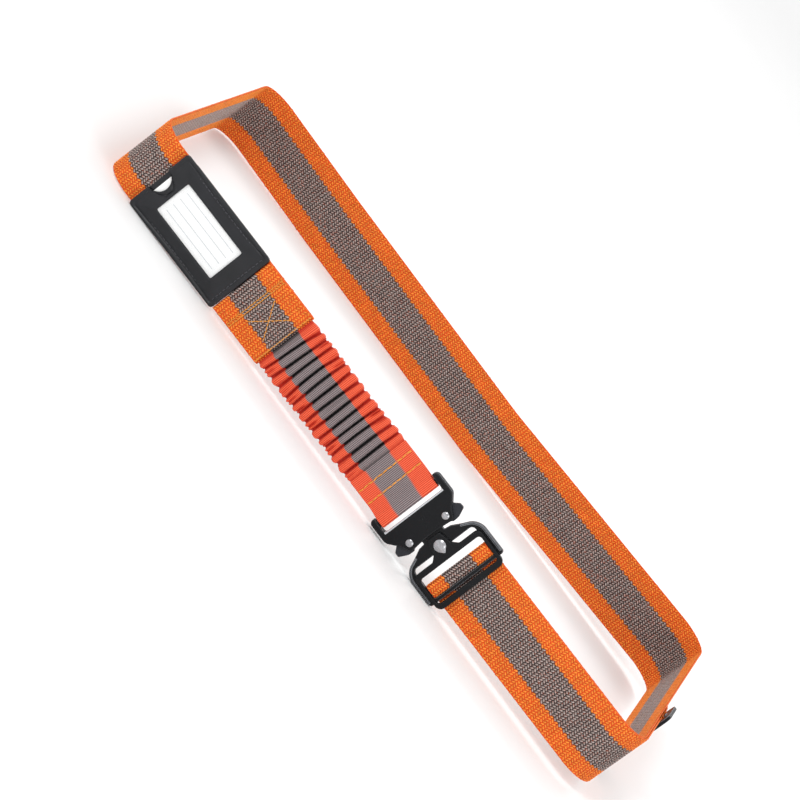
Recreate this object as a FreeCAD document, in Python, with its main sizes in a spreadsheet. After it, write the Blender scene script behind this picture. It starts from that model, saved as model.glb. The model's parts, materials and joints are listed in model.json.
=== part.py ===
import FreeCAD, Part
import math
import os

import Sketcher

# Luggage strap, buckled into the loop it makes round a case and standing on its edge.
# Millimetres.  World frame: X along the front run, Y towards the back run, Z up.
# Front-run pieces are drawn in the strap's own frame: X along the strap, from the label
# to the adjuster, Y across its width, Z outwards from the case.  Its origin is the middle
# of the edge of the buckle's web slot, on the face of the webbing that touches the case.

DIMENSIONS = [
    ("webbing_width", 50.0),
    ("webbing_thick", 1.4),
    ("layer_gap", 0.1),
    ("elastic_width", 47.0),
    ("case_width", 510.0),
    ("case_depth", 300.0),
    ("case_corner", 22.0),
    ("slot_from_centre", 45.0),
    ("plate_thick", 1.8),
    ("socket_back", 1.0),
    ("socket_gap", 2.4),
    ("socket_length", 20.3),
    ("socket_half", 28.8),
    ("ear_length", 11.6),
    ("ear_inner", 24.6),
    ("edge_round", 0.6),
    ("rivet_along", 15.1),
    ("rivet_across", 15.35),
    ("rivet_shank", 1.6),
    ("rivet_head", 2.55),
    ("rivet_rim", 0.3),
    ("rivet_rise", 0.9),
    ("rivet_tail", 2.4),
    ("rivet_tail_thick", 0.7),
    ("pivot_clearance", 0.05),
    ("lever_thick", 2.2),
    ("hook_overlap", 0.35),
    ("guide_inset", 0.6),
    ("tongue_back", 3.0),
    ("tongue_thick", 2.0),
    ("tongue_tip", 1.0),
    ("tongue_head_half", 9.0),
    ("tongue_neck_half", 7.0),
    ("tongue_body_half", 8.6),
    ("shoulder_start", 22.0),
    ("tongue_half", 31.3),
    ("tongue_end", 57.0),
    ("window_start", 31.0),
    ("window_end", 54.3),
    ("window_half", 25.4),
    ("rim_height", 1.3),
    ("rim_inset", 0.55),
    ("rim_width", 1.7),
    ("rim_setback", 2.4),
    ("rim_root", 0.5),
    ("frame_start", 34.4),
    ("frame_end", 62.9),
    ("frame_bar", 4.3),
    ("frame_half", 28.0),
    ("frame_thick", 2.4),
    ("dome_along", 28.5),
    ("dome_round", 4.2),
    ("dome_rim", 0.4),
    ("dome_rise", 1.9),
    ("dome_shank", 2.2),
    ("dome_tail", 3.2),
    ("dome_tail_thick", 0.8),
    ("nub_start", 2.8),
    ("nub_half", 3.1),
    ("nub_tip", 6.1),
    ("nub_rise", 1.3),
    ("bar_start", 45.4),
    ("bar_end", 52.4),
    ("web_bar_start", -8.6),
    ("web_bar_end", -4.2),
    ("sewn_layer", 1.2),
    ("elastic_start", -137.9),
    ("elastic_end", -39.9),
    ("sleeve_back", 0.2),
    ("sleeve_thick", 5.4),
    ("channel_half", 20.0),
    ("channel_back", 1.5),
    ("channel_front", 4.3),
    ("band_half", 19.0),
    ("band_back", 2.2),
    ("band_thick", 1.4),
    ("fold_start", -185.6),
    ("fold_thick", 3.4),
    ("label_start", -273.9),
    ("label_end", -185.9),
    ("label_half", 26.2),
    ("label_corner", 2.5),
    ("label_panel_thick", 1.0),
    ("label_front_thick", 2.2),
    ("label_pocket_deep", 1.2),
    ("label_pocket_wall", 7.0),
    ("label_window_length", 57.0),
    ("label_window_height", 27.6),
    ("card_length", 76.0),
    ("card_height", 39.6),
    ("card_thick", 0.5),
    ("thumb_round", 9.0),
    ("film_overlap", 3.0),
    ("film_back", 0.95),
    ("film_thick", 0.25),
    ("back_join", 4.0),
    ("back_left_foot", -150.0),
    ("back_right_foot", 40.0),
    ("buckle_foot", 33.0),
    ("glide_length", 33.0),
    ("glide_bar", 5.0),
    ("glide_centre_bar", 7.0),
    ("glide_thick", 2.6),
    ("glide_rise", 3.4),
    ("glide_place", -60.0),
    ("glide_room", 15.0),
    ("centre_bar_thick", 1.4),
    ("centre_bar_drop", 0.6),
    ("fold_wall", 0.9),
    ("threaded_thick", 1.2),
    ("spring_wire", 0.25),
    ("spring_round", 0.85),
    ("spring_pitch", 1.1),
    ("spring_length", 4.4),
    ("spring_along", 6.0),
    ("spring_across", 16.1),
    ("room", 0.05),
]
SIZE = dict(DIMENSIONS)

doc = FreeCAD.newDocument("luggage_strap")
sheet = doc.addObject("Spreadsheet::Sheet", "Sizes")
for row, (alias, value) in enumerate(DIMENSIONS, start=1):
    sheet.set(f"A{row}", alias)
    sheet.set(f"B{row}", str(value))
    sheet.setAlias(f"B{row}", alias)
doc.recompute()

V = FreeCAD.Vector
nodes = []


# ---------------------------------------------------------------- where things lie

WIDTH = SIZE["webbing_width"]
THICK = SIZE["webbing_thick"]
SECOND_LAYER = THICK + SIZE["layer_gap"]
# The buckle and the label are wider than the webbing, so the loop stands on the buckle's
# edge, the label's edge and the back run, and the front run climbs gently to the buckle.
STRAIGHT_HALF = SIZE["case_width"] / 2 - SIZE["case_corner"]
SIDE_HALF = SIZE["case_depth"] / 2 - SIZE["case_corner"]
LEFT_LIFT = SIZE["label_half"] - WIDTH / 2
BUCKLE_LIFT = SIZE["tongue_half"] - WIDTH / 2
BUCKLE_FOOT = SIZE["slot_from_centre"] + SIZE["buckle_foot"]
CLIMB = (BUCKLE_LIFT - LEFT_LIFT) / (BUCKLE_FOOT + STRAIGHT_HALF)
TILT = math.degrees(math.atan(CLIMB))
RIGHT_LIFT = LEFT_LIFT + CLIMB * 2 * STRAIGHT_HALF
ROOM = SIZE["room"]
CENTRE_BAR_BACK = SIZE["glide_rise"] - SIZE["centre_bar_drop"]
CENTRE_BAR_FRONT = CENTRE_BAR_BACK + SIZE["centre_bar_thick"]
THREADED_BACK = CENTRE_BAR_FRONT + 2 * ROOM + SIZE["fold_wall"]
GLIDE_TOP = THREADED_BACK + SIZE["threaded_thick"]
DOME_TOP = SIZE["tongue_back"] + SIZE["tongue_thick"] + SIZE["frame_thick"] + SIZE["dome_rise"]
# The origin is under the middle of the whole object, so the case's middle is off it.
CASE_X = -(GLIDE_TOP - THICK) / 2
CASE_Y = (DOME_TOP - THICK) / 2
LEFT_FACE = CASE_X - SIZE["case_width"] / 2
RIGHT_FACE = CASE_X + SIZE["case_width"] / 2
FRONT_FACE = CASE_Y - SIZE["case_depth"] / 2
BACK_FACE = CASE_Y + SIZE["case_depth"] / 2


def run_height(x):
    """Height of the front run's lower edge, x from the case's middle."""
    return LEFT_LIFT + CLIMB * (x + STRAIGHT_HALF)


SLOT_X = SIZE["slot_from_centre"]
SLOT_POINT = V(CASE_X + SLOT_X, FRONT_FACE, run_height(SLOT_X) + WIDTH / 2)
FRONT = FreeCAD.Placement(
    SLOT_POINT,
    FreeCAD.Rotation(V(0, 1, 0), -TILT).multiply(FreeCAD.Rotation(V(1, 0, 0), 90)),
)
RIGHT = FreeCAD.Placement(
    V(RIGHT_FACE, CASE_Y + SIZE["glide_place"], RIGHT_LIFT + WIDTH / 2),
    FreeCAD.Rotation(V(0, 0, 1), 90).multiply(FreeCAD.Rotation(V(1, 0, 0), 90)),
)


# ---------------------------------------------------------------- drawing helpers


def add_node(item, label, placement):
    """Name a finished sub-part and put it in its place."""
    item.Label = label
    item.Placement = placement
    nodes.append(item)
    return item


def new_body(name):
    return doc.addObject("PartDesign::Body", name)


def plane(body, role):
    return [f for f in body.Origin.OriginFeatures if f.Role == role][0]


def new_sketch(body, role, lift=None):
    """A sketch on one of the body's own planes, lifted off it by a sheet expression."""
    sketch = body.newObject("Sketcher::SketchObject", body.Name + "_sketch")
    sketch.AttachmentSupport = [(plane(body, role), "")]
    sketch.MapMode = "FlatFace"
    if lift:
        sketch.setExpression(".AttachmentOffset.Base.z", lift)
    return sketch


def mirrored(half):
    """A closed outline from the points of its upper half, given front to back."""
    return half + [(p[0], -p[1]) + tuple(p[2:]) for p in reversed(half)]


def rounded(corners):
    """Lines and tangent arcs through corners (x, y, radius); no radius is a sharp one."""
    count = len(corners)
    ends = []
    for i, corner in enumerate(corners):
        here = V(corner[0], corner[1], 0)
        radius = corner[2] if len(corner) > 2 else 0.0
        before = V(corners[i - 1][0], corners[i - 1][1], 0)
        after = V(corners[(i + 1) % count][0], corners[(i + 1) % count][1], 0)
        back = (before - here).normalize()
        on = (after - here).normalize()
        if radius == 0.0:
            ends.append((here, None, here))
            continue
        half_angle = back.getAngle(on) / 2
        reach = radius / math.tan(half_angle)
        bisector = (back + on).normalize()
        middle = here + bisector * (radius / math.sin(half_angle) - radius)
        ends.append((here + back * reach, middle, here + on * reach))
    pieces = []
    for i, (start, middle, end) in enumerate(ends):
        if middle is not None:
            pieces.append(Part.Arc(start, middle, end))
        following = ends[(i + 1) % count][0]
        corner, onward = corners[i], corners[(i + 1) % count]
        side = V(onward[0] - corner[0], onward[1] - corner[1], 0)
        if (following - end).dot(side) < -1e-6:
            raise ValueError(f"the rounds at {corner} and {onward} meet")
        if end.distanceToPoint(following) > 1e-6:
            pieces.append(Part.LineSegment(end, following))
    return pieces


def box_corners(low_x, high_x, low_y, high_y, corner=0.0):
    """The four corners of a rectangle, each with the same rounding."""
    return [(low_x, low_y, corner), (high_x, low_y, corner),
            (high_x, high_y, corner), (low_x, high_y, corner)]


def draw(sketch, pieces):
    """Add one closed outline to a sketch, its ends tied together."""
    first = sketch.GeometryCount
    for piece in pieces:
        sketch.addGeometry(piece, False)
    total = len(pieces)
    for i in range(total):
        here = first + i
        following = first + (i + 1) % total
        pairs = [(a, b) for a in (1, 2) for b in (1, 2)]
        end, start = min(
            pairs,
            key=lambda p: sketch.getPoint(here, p[0]).distanceToPoint(
                sketch.getPoint(following, p[1])
            ),
        )
        sketch.addConstraint(Sketcher.Constraint("Coincident", here, end, following, start))


def draw_circle(sketch, centre, radius):
    """A circle whose centre and radius are sheet expressions."""
    index = sketch.addGeometry(Part.Circle(V(1, 1, 0), V(0, 0, 1), 2.0), False)
    for kind, value in (("DistanceX", centre[0]), ("DistanceY", centre[1])):
        number = sketch.addConstraint(Sketcher.Constraint(kind, -1, 1, index, 3, 1.0))
        sketch.setExpression(f"Constraints[{number}]", value)
    number = sketch.addConstraint(Sketcher.Constraint("Radius", index, 2.0))
    sketch.setExpression(f"Constraints[{number}]", radius)


def draw_box(sketch, low_x, high_x, half_y):
    """A rectangle centred on the strap's middle line, its sides at sheet expressions."""
    points = [V(-1, -1, 0), V(1, -1, 0), V(1, 1, 0), V(-1, 1, 0)]
    first = sketch.GeometryCount
    for i in range(4):
        sketch.addGeometry(Part.LineSegment(points[i], points[(i + 1) % 4]), False)
    for i in range(4):
        following = first + (i + 1) % 4
        sketch.addConstraint(Sketcher.Constraint("Coincident", first + i, 2, following, 1))
        kind = "Horizontal" if i % 2 == 0 else "Vertical"
        sketch.addConstraint(Sketcher.Constraint(kind, first + i))
    for kind, index, value, expression in (
        ("DistanceX", first, -1.0, low_x),
        ("DistanceX", first + 2, 1.0, high_x),
        ("DistanceY", first, -1.0, f"-({half_y})"),
        ("DistanceY", first + 2, 1.0, half_y),
    ):
        number = sketch.addConstraint(Sketcher.Constraint(kind, -1, 1, index, 1, value))
        sketch.setExpression(f"Constraints[{number}]", expression)


def pad(body, sketch, length, both_ways=False):
    feature = body.newObject("PartDesign::Pad", body.Name + "_pad")
    feature.Profile = sketch
    feature.setExpression("Length", length)
    feature.Midplane = both_ways
    sketch.Visibility = False
    doc.recompute()
    return feature


def pocket(body, sketch, length=None):
    """Cut upwards from the sketch by a length, or right through both ways."""
    volume = body.Shape.Volume
    feature = body.newObject("PartDesign::Pocket", body.Name + "_pocket")
    feature.Profile = sketch
    if length is None:
        feature.Type = "ThroughAll"
        feature.Midplane = True
    else:
        feature.setExpression("Length", length)
        feature.Reversed = True
    doc.recompute()
    if not body.Shape.Volume < volume - 1e-3:
        raise RuntimeError(f"{body.Name}: the pocket cut nothing")
    return feature


def round_edges(body, height, radius):
    """Round the body's edges at one height, apart from its round holes."""
    base = body.Tip
    names = []
    for number, edge in enumerate(base.Shape.Edges, start=1):
        box = edge.BoundBox
        flat = abs(box.ZMin - height) < 1e-4 and abs(box.ZMax - height) < 1e-4
        if flat and not edge.isClosed():
            names.append(f"Edge{number}")
    feature = body.newObject("PartDesign::Fillet", body.Name + "_fillet")
    feature.Base = (base, names)
    feature.setExpression("Radius", radius)
    doc.recompute()
    return feature


def slab(name, low_x, high_x, half_y, back, thick, placement=FRONT):
    """A flat rectangular piece of the strap, every size a sheet expression."""
    body = new_body(name)
    sketch = new_sketch(body, "XY_Plane", back)
    draw_box(sketch, low_x, high_x, half_y)
    pad(body, sketch, thick)
    return add_node(body, name, placement)


def rounded_slab(name, low_x, high_x, half_y, back, thick, corner):
    """A flat piece of the strap with rounded corners, not yet placed."""
    body = new_body(name)
    sketch = new_sketch(body, "XY_Plane", back)
    draw(sketch, rounded(box_corners(low_x, high_x, -half_y, half_y, corner)))
    pad(body, sketch, thick)
    return body


def coded(name, shape, placement=None):
    """A piece whose shape is worked out below from the sheet's sizes."""
    item = doc.addObject("Part::Feature", name)
    item.Shape = shape
    return add_node(item, name, placement or FreeCAD.Placement())


# ---------------------------------------------------------------- buckle, socket half

SOCKET_BACK = SIZE["socket_back"]
GAP_BACK = SOCKET_BACK + SIZE["plate_thick"]
GAP_FRONT = GAP_BACK + SIZE["socket_gap"]
SOCKET_FRONT = GAP_FRONT + SIZE["plate_thick"]


def socket_outline():
    """Waisted plate with a shallow hollow front edge and two ears beside the web slot."""
    front = SIZE["socket_length"]
    half = SIZE["socket_half"]
    upper = [
        (front, 17.5, 1.0),
        (18.6, 19.2, 2.0),
        (13.8, 21.6, 6.0),
        (5.6, half, 5.0),
        (-SIZE["ear_length"], half, 3.2),
        (-SIZE["ear_length"], SIZE["ear_inner"], 0.9),
        (0.0, SIZE["ear_inner"], 1.6),
    ]
    pieces = rounded(mirrored(upper))
    hollow = 1.1
    straight = pieces[-1]
    top, bottom = straight.EndPoint, straight.StartPoint
    pieces[-1] = Part.Arc(bottom, V(front - hollow, 0, 0), top)
    return pieces


def socket_plate(name, back, rounded_at):
    body = new_body(name)
    sketch = new_sketch(body, "XY_Plane", back)
    draw(sketch, socket_outline())
    for side in ("", "-"):
        draw_circle(
            sketch,
            ("Sizes.rivet_along", f"{side}Sizes.rivet_across"),
            "Sizes.rivet_shank + Sizes.pivot_clearance",
        )
    pad(body, sketch, "Sizes.plate_thick")
    round_edges(body, rounded_at, "Sizes.edge_round")
    return add_node(body, name, FRONT)


def tongue_guide():
    """Spacer that joins the plates: rear wall, two side walls and the two ear blocks."""
    body = new_body("tongue_guide")
    sketch = new_sketch(body, "XY_Plane", "Sizes.socket_back + Sizes.plate_thick")
    ear = SIZE["socket_half"] - SIZE["guide_inset"]
    inner = SIZE["ear_inner"] + 0.2
    bar_face = SIZE["web_bar_end"] + 2 * ROOM
    upper = [
        (0.8, 20.8),
        (7.4, 20.8),
        (7.4, 24.6),
        (3.6, ear),
        (bar_face, ear),
        (bar_face, inner),
        (0.2, inner),
    ]
    draw(sketch, rounded(mirrored(upper)))
    pad(body, sketch, "Sizes.socket_gap")
    return add_node(body, "tongue_guide", FRONT)


def revolved(profile, centre):
    """A turned solid from (radius, height) points, about an upright axis at centre."""
    points = [V(radius, 0, height) for radius, height in profile]
    wire = Part.makePolygon(points + [points[0]])
    solid = Part.Face(wire).revolve(V(0, 0, 0), V(0, 0, 1), 360)
    solid.translate(V(centre[0], centre[1], 0))
    return solid


def domed(base_radius, rise, height, centre):
    """A shallow cap of a sphere standing on a flat circle."""
    ball = (base_radius**2 + rise**2) / (2 * rise)
    cap = Part.makeSphere(ball, V(0, 0, height + rise - ball))
    room = Part.makeCylinder(base_radius, rise, V(0, 0, height))
    cap = cap.common(room)
    cap.translate(V(centre[0], centre[1], 0))
    return cap


def lever_rivets():
    """Two rivets, each the pivot of one lever: domed outside, flat inside."""
    shank, tail, head = SIZE["rivet_shank"], SIZE["rivet_tail"], SIZE["rivet_head"]
    tail_back = SOCKET_BACK - SIZE["rivet_tail_thick"]
    rim_front = SOCKET_FRONT + SIZE["rivet_rim"]
    solids = []
    for side in (1, -1):
        centre = (SIZE["rivet_along"], side * SIZE["rivet_across"])
        stem = revolved(
            [(0, tail_back), (tail, tail_back), (tail, SOCKET_BACK), (shank, SOCKET_BACK),
             (shank, SOCKET_FRONT), (head, SOCKET_FRONT), (head, rim_front), (0, rim_front)],
            centre,
        )
        cap = domed(head, SIZE["rivet_rise"], rim_front, centre)
        solids.append(stem.fuse(cap).removeSplitter())
    return coded("lever_rivets", Part.makeCompound(solids), FRONT)


def web_bar():
    """Flat steel bar that the sewn end goes round, held between the plates' ears."""
    body = new_body("socket_web_bar")
    sketch = new_sketch(body, "XY_Plane", "Sizes.socket_back + Sizes.plate_thick")
    draw_box(sketch, "Sizes.web_bar_start", "Sizes.web_bar_end", "Sizes.socket_half - Sizes.guide_inset")
    pad(body, sketch, "Sizes.socket_gap")
    return add_node(body, "socket_web_bar", FRONT)


def lever(side):
    """Latch lever: a hook behind the rivet, a hub on it and a rounded wing to press."""
    name = "latch_lever_upper" if side > 0 else "latch_lever_lower"
    body = new_body(name)
    clear = (SIZE["socket_gap"] - SIZE["lever_thick"]) / 2
    sketch = new_sketch(body, "XY_Plane", f"Sizes.socket_back + Sizes.plate_thick + {clear}")
    hook = SIZE["tongue_head_half"] - SIZE["hook_overlap"]
    corners = [
        (4.8, hook),
        (6.9, hook, 0.5),
        (8.2, 11.0, 1.5),
        (17.0, 11.2, 3.4),
        (21.2, 17.0, 1.0),
        (21.1, 21.0, 7.0),
        (18.0, 27.9, 1.8),
        (14.6, 27.7, 1.5),
        (10.4, 22.8, 3.0),
        (6.6, 15.0, 1.5),
        (4.2, 12.6, 0.8),
    ]
    draw(sketch, rounded([(x, side * y) + tuple(r) for x, y, *r in corners]))
    draw_circle(
        sketch,
        ("Sizes.rivet_along", f"{side} * Sizes.rivet_across"),
        "Sizes.rivet_shank + Sizes.pivot_clearance",
    )
    pad(body, sketch, "Sizes.lever_thick")
    return add_node(body, name, FRONT)


def lever_spring(side):
    """Small coil spring between a side wall of the guide and the back of a lever."""
    name = "lever_spring_upper" if side > 0 else "lever_spring_lower"
    helix = Part.makeHelix(SIZE["spring_pitch"], SIZE["spring_length"], SIZE["spring_round"])
    start = helix.Edges[0].Vertexes[0].Point
    section = Part.Wire(Part.makeCircle(SIZE["spring_wire"], start, V(0, 1, 0)))
    coil = Part.Wire(helix.Edges).makePipeShell([section], True, True)
    along = FreeCAD.Placement(
        V(SIZE["spring_along"], side * SIZE["spring_across"], (GAP_BACK + GAP_FRONT) / 2),
        FreeCAD.Rotation(V(1, 0, 0), -90 * side),
    )
    return coded(name, coil, FRONT.multiply(along))


def sewn_end_loop():
    """Flat end of the elastic strap, doubled round the web bar and sewn."""
    body = new_body("sewn_end_loop")
    sketch = new_sketch(body, "XZ_Plane")
    layer = SIZE["sewn_layer"]
    room = 2 * ROOM
    low = GAP_BACK - room - layer
    high = GAP_FRONT + room + layer
    tip = SIZE["web_bar_end"] + room + layer
    flat_back, flat_front = 0.2, 2.8
    start = SIZE["elastic_end"]
    outside = [
        (start, flat_back),
        (-19.0, flat_back, 8.0),
        (-9.6, low, 8.0),
        (tip, low, 2.0),
        (tip, high, 2.0),
        (-9.6, high, 4.0),
        (-18.5, flat_front, 8.0),
        (start, flat_front),
    ]
    inside = [
        (SIZE["web_bar_end"] + room, GAP_BACK - room),
        (SIZE["web_bar_end"] + room, GAP_FRONT + room),
        (SIZE["web_bar_start"] - room, GAP_FRONT + room, 1.0),
        (-14.2, 2.3),
        (SIZE["web_bar_start"] - room, GAP_BACK - room, 1.0),
    ]
    draw(sketch, rounded(outside))
    draw(sketch, rounded(inside))
    pad(body, sketch, "Sizes.elastic_width", both_ways=True)
    return add_node(body, "sewn_end_loop", FRONT)


# ---------------------------------------------------------------- buckle, tongue half

PLATE_FRONT = SIZE["tongue_back"] + SIZE["tongue_thick"]
FRAME_FRONT = PLATE_FRONT + SIZE["frame_thick"]


def shoulder(inset, end):
    """Upper outline of the tongue plate from its shoulder to an end, moved in by inset."""
    half = SIZE["tongue_half"] - inset
    return [
        (25.2 + 0.7 * inset, 19.5 - 0.5 * inset, 14.0),
        (28.6 + 0.6 * inset, 27.4 - 0.8 * inset, 11.0 - inset),
        (34.5 + 0.2 * inset, half, 11.0 - inset),
        (end, half),
    ]


def tongue_plate():
    """Steel plate: barbed tongue, wide shoulders, windows for the webbing, raised rims."""
    body = new_body("tongue_plate")
    sketch = new_sketch(body, "XY_Plane", "Sizes.tongue_back")
    head = SIZE["tongue_head_half"]
    neck = SIZE["tongue_neck_half"]
    guide = SIZE["tongue_body_half"]
    start = SIZE["shoulder_start"]
    upper = [
        (SIZE["tongue_tip"], head, 0.8),
        (2.8, head, 0.4),
        (2.8, neck, 0.5),
        (8.6, neck, 0.8),
        (9.8, guide, 0.8),
        (start - 0.6, guide, 0.3),
        (start, 13.2, 1.0),
        *shoulder(0.0, SIZE["tongue_end"])[:-1],
        (SIZE["tongue_end"], SIZE["tongue_half"], 2.2),
    ]
    draw(sketch, rounded(mirrored(upper)))
    pad(body, sketch, "Sizes.tongue_thick")
    window = new_sketch(body, "XY_Plane", "Sizes.tongue_back")
    half = SIZE["window_half"]
    low, high = SIZE["window_start"], SIZE["window_end"]
    draw(window, rounded(mirrored([(high, half, 1.5), (low, half, 3.0)])))
    draw_circle(window, ("Sizes.dome_along", "0"), "Sizes.dome_shank")
    pocket(body, window)
    round_edges(body, PLATE_FRONT, "Sizes.edge_round - 0.35")
    rim_end = SIZE["tongue_end"] - SIZE["rim_setback"]
    outer = shoulder(SIZE["rim_inset"], rim_end)
    inner = shoulder(SIZE["rim_width"], rim_end)
    strip = [outer[0][:2], *outer[1:], *inner[:0:-1], inner[0][:2]]
    for side in (1, -1):
        rim = new_sketch(body, "XY_Plane", "Sizes.tongue_back + Sizes.tongue_thick - Sizes.rim_root")
        draw(rim, rounded([(x, side * y) + tuple(r) for x, y, *r in strip]))
        pad(body, rim, "Sizes.rim_height + Sizes.rim_root")
    return add_node(body, "tongue_plate", FRONT)


def top_frame():
    """Rectangular loop riveted over the tongue plate by a narrow neck."""
    body = new_body("top_frame")
    sketch = new_sketch(body, "XY_Plane", "Sizes.tongue_back + Sizes.tongue_thick")
    left, right, half = SIZE["frame_start"], SIZE["frame_end"], SIZE["frame_half"]
    upper = [
        (20.9, 5.1, 1.0),
        (26.0, 6.4, 6.0),
        (31.0, 7.5, 4.0),
        (left, 11.2, 2.6),
        (left, half, 4.5),
        (right, half, 5.0),
    ]
    draw(sketch, rounded(mirrored(upper)))
    bar = SIZE["frame_bar"]
    window = SIZE["window_half"]
    draw(sketch, rounded(box_corners(left + bar, right - bar, -window, window, 2.5)))
    draw_circle(sketch, ("Sizes.dome_along", "0"), "Sizes.dome_shank")
    pad(body, sketch, "Sizes.frame_thick")
    round_edges(body, FRAME_FRONT, "Sizes.edge_round + 0.3")
    return add_node(body, "top_frame", FRONT)


def dome_rivet():
    """Large domed rivet with a pointed nub like a drop's, clenched behind the plate."""
    along, head = SIZE["dome_along"], SIZE["dome_round"]
    shank = SIZE["dome_shank"] - ROOM / 2
    back, tail = SIZE["tongue_back"], SIZE["dome_tail"]
    tail_back = back - SIZE["dome_tail_thick"]
    rim_front = FRAME_FRONT + SIZE["dome_rim"]
    stem = revolved(
        [(0, tail_back), (tail, tail_back), (tail, back), (shank, back),
         (shank, FRAME_FRONT), (head, FRAME_FRONT), (head, rim_front), (0, rim_front)],
        (along, 0.0),
    )
    cap = domed(head, SIZE["dome_rise"] - SIZE["dome_rim"], rim_front, (along, 0.0))
    start, half = along + SIZE["nub_start"], SIZE["nub_half"]
    outline = rounded([(along, -half), (start, -half), (along + SIZE["nub_tip"], 0.0, 0.9),
                       (start, half), (along, half)])
    wedge = Part.Face(Part.Wire(Part.sortEdges([p.toShape() for p in outline])[0]))
    wedge.translate(V(0, 0, FRAME_FRONT))
    ball = 2 * head
    crown = Part.makeSphere(ball, V(start - half / 2, 0, FRAME_FRONT + SIZE["nub_rise"] - ball))
    nub = wedge.extrude(V(0, 0, SIZE["nub_rise"])).common(crown)
    return coded("dome_rivet", stem.fuse([cap, nub]).removeSplitter(), FRONT)


def cross_bar():
    """Flat bar across the plate's window, under the turned-back webbing."""
    body = new_body("cross_bar")
    sketch = new_sketch(body, "XY_Plane", "Sizes.tongue_back")
    draw_box(sketch, "Sizes.bar_start", "Sizes.bar_end", "Sizes.window_half")
    pad(body, sketch, "Sizes.tongue_thick")
    return add_node(body, "cross_bar", FRONT)


def bar_wrap():
    """The webbing's turn round the cross bar."""
    body = new_body("webbing_bar_turn")
    sketch = new_sketch(body, "XZ_Plane")
    for grow, corner in ((ROOM, 0.0), (ROOM + THICK, THICK + 0.4)):
        corners = box_corners(SIZE["bar_start"] - grow, SIZE["bar_end"] + grow,
                              SIZE["tongue_back"] - grow, PLATE_FRONT + grow, corner)
        draw(sketch, rounded(corners))
    pad(body, sketch, "Sizes.webbing_width", both_ways=True)
    return add_node(body, "webbing_bar_turn", FRONT)


# ---------------------------------------------------------------- elastic and label


def elastic_sleeve():
    """Gathered sleeve with the elastic band's channel through it."""
    body = new_body("elastic_sleeve")
    sketch = new_sketch(body, "XY_Plane", "Sizes.sleeve_back")
    draw_box(
        sketch,
        "Sizes.elastic_start + 4 * Sizes.room",
        "Sizes.elastic_end - 4 * Sizes.room",
        "Sizes.elastic_width / 2 - 10 * Sizes.room",
    )
    pad(body, sketch, "Sizes.sleeve_thick")
    channel = new_sketch(body, "YZ_Plane")
    half = SIZE["channel_half"]
    draw(channel, rounded(box_corners(-half, half, SIZE["channel_back"], SIZE["channel_front"])))
    pocket(body, channel)
    return add_node(body, "elastic_sleeve", FRONT)


def label_holder():
    """Stitched holder: back panel, front with a window and thumb notch, film and card."""
    low, high, half = SIZE["label_start"], SIZE["label_end"], SIZE["label_half"]
    corner = SIZE["label_corner"]
    panel_back = "Sizes.webbing_thick + Sizes.layer_gap"
    front_back = f"{panel_back} + Sizes.label_panel_thick"
    panel = rounded_slab(
        "label_back_panel", low, high, half, panel_back, "Sizes.label_panel_thick", corner
    )
    add_node(panel, "label_back_panel", FRONT)
    front = rounded_slab(
        "label_front", low, high, half, front_back, "Sizes.label_front_thick", corner
    )
    recess = new_sketch(front, "XY_Plane", front_back)
    card_half = SIZE["card_height"] / 2
    pocket_half = card_half + 8 * ROOM
    pocket_end = high - SIZE["label_pocket_wall"]
    draw(recess, rounded(box_corners(low - 1.0, pocket_end, -pocket_half, pocket_half)))
    pocket(front, recess, "Sizes.label_pocket_deep")
    opening = new_sketch(front, "XY_Plane", front_back)
    middle = (low + high) / 2
    reach = SIZE["label_window_length"] / 2
    window = SIZE["label_window_height"] / 2
    draw(opening, rounded(box_corners(middle - reach, middle + reach, -window, window, 1.0)))
    draw_circle(opening, ("Sizes.label_start", "0"), "Sizes.thumb_round")
    pocket(front, opening)
    add_node(front, "label_front", FRONT)
    overlap = SIZE["film_overlap"]
    film = rounded_slab(
        "label_window_film", middle - reach - overlap, middle + reach + overlap,
        window + overlap, f"{front_back} + Sizes.film_back", "Sizes.film_thick", 1.0,
    )
    add_node(film, "label_window_film", FRONT)
    card_end = pocket_end - 10 * ROOM
    card = rounded_slab(
        "id_card", card_end - SIZE["card_length"], card_end, card_half,
        f"{front_back} + 4 * Sizes.room", "Sizes.card_thick", 2.0,
    )
    add_node(card, "id_card", FRONT)


# ---------------------------------------------------------------- webbing round the case


def front_strip(name, start, end, back):
    """A straight of webbing on the front run, start and end along the strap."""
    first, last = start + SLOT_X, end + SLOT_X
    outline = [
        V(CASE_X + first, FRONT_FACE - back, run_height(first)),
        V(CASE_X + last, FRONT_FACE - back, run_height(last)),
        V(CASE_X + last, FRONT_FACE - back, run_height(last) + WIDTH),
        V(CASE_X + first, FRONT_FACE - back, run_height(first) + WIDTH),
    ]
    face = Part.Face(Part.makePolygon(outline + [outline[0]]))
    return coded(name, face.extrude(V(0, -THICK, 0)))


def corner_strip(name, side_x, side_y, back, bottom):
    """A quarter turn of webbing round one upright edge of the case."""
    radius = SIZE["case_corner"]
    centre = V(CASE_X + side_x * STRAIGHT_HALF, CASE_Y + side_y * SIDE_HALF, bottom)
    start = {(1, -1): -90, (1, 1): 0, (-1, 1): 90, (-1, -1): 180}[(side_x, side_y)]
    inner, outer = radius + back, radius + back + THICK
    origin, up = V(0, 0, 0), V(0, 0, 1)
    solid = Part.makeCylinder(outer, WIDTH, origin, up, 90)
    solid = solid.cut(Part.makeCylinder(inner, WIDTH, origin, up, 90))
    return coded(name, solid, FreeCAD.Placement(centre, FreeCAD.Rotation(up, start)))


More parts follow.
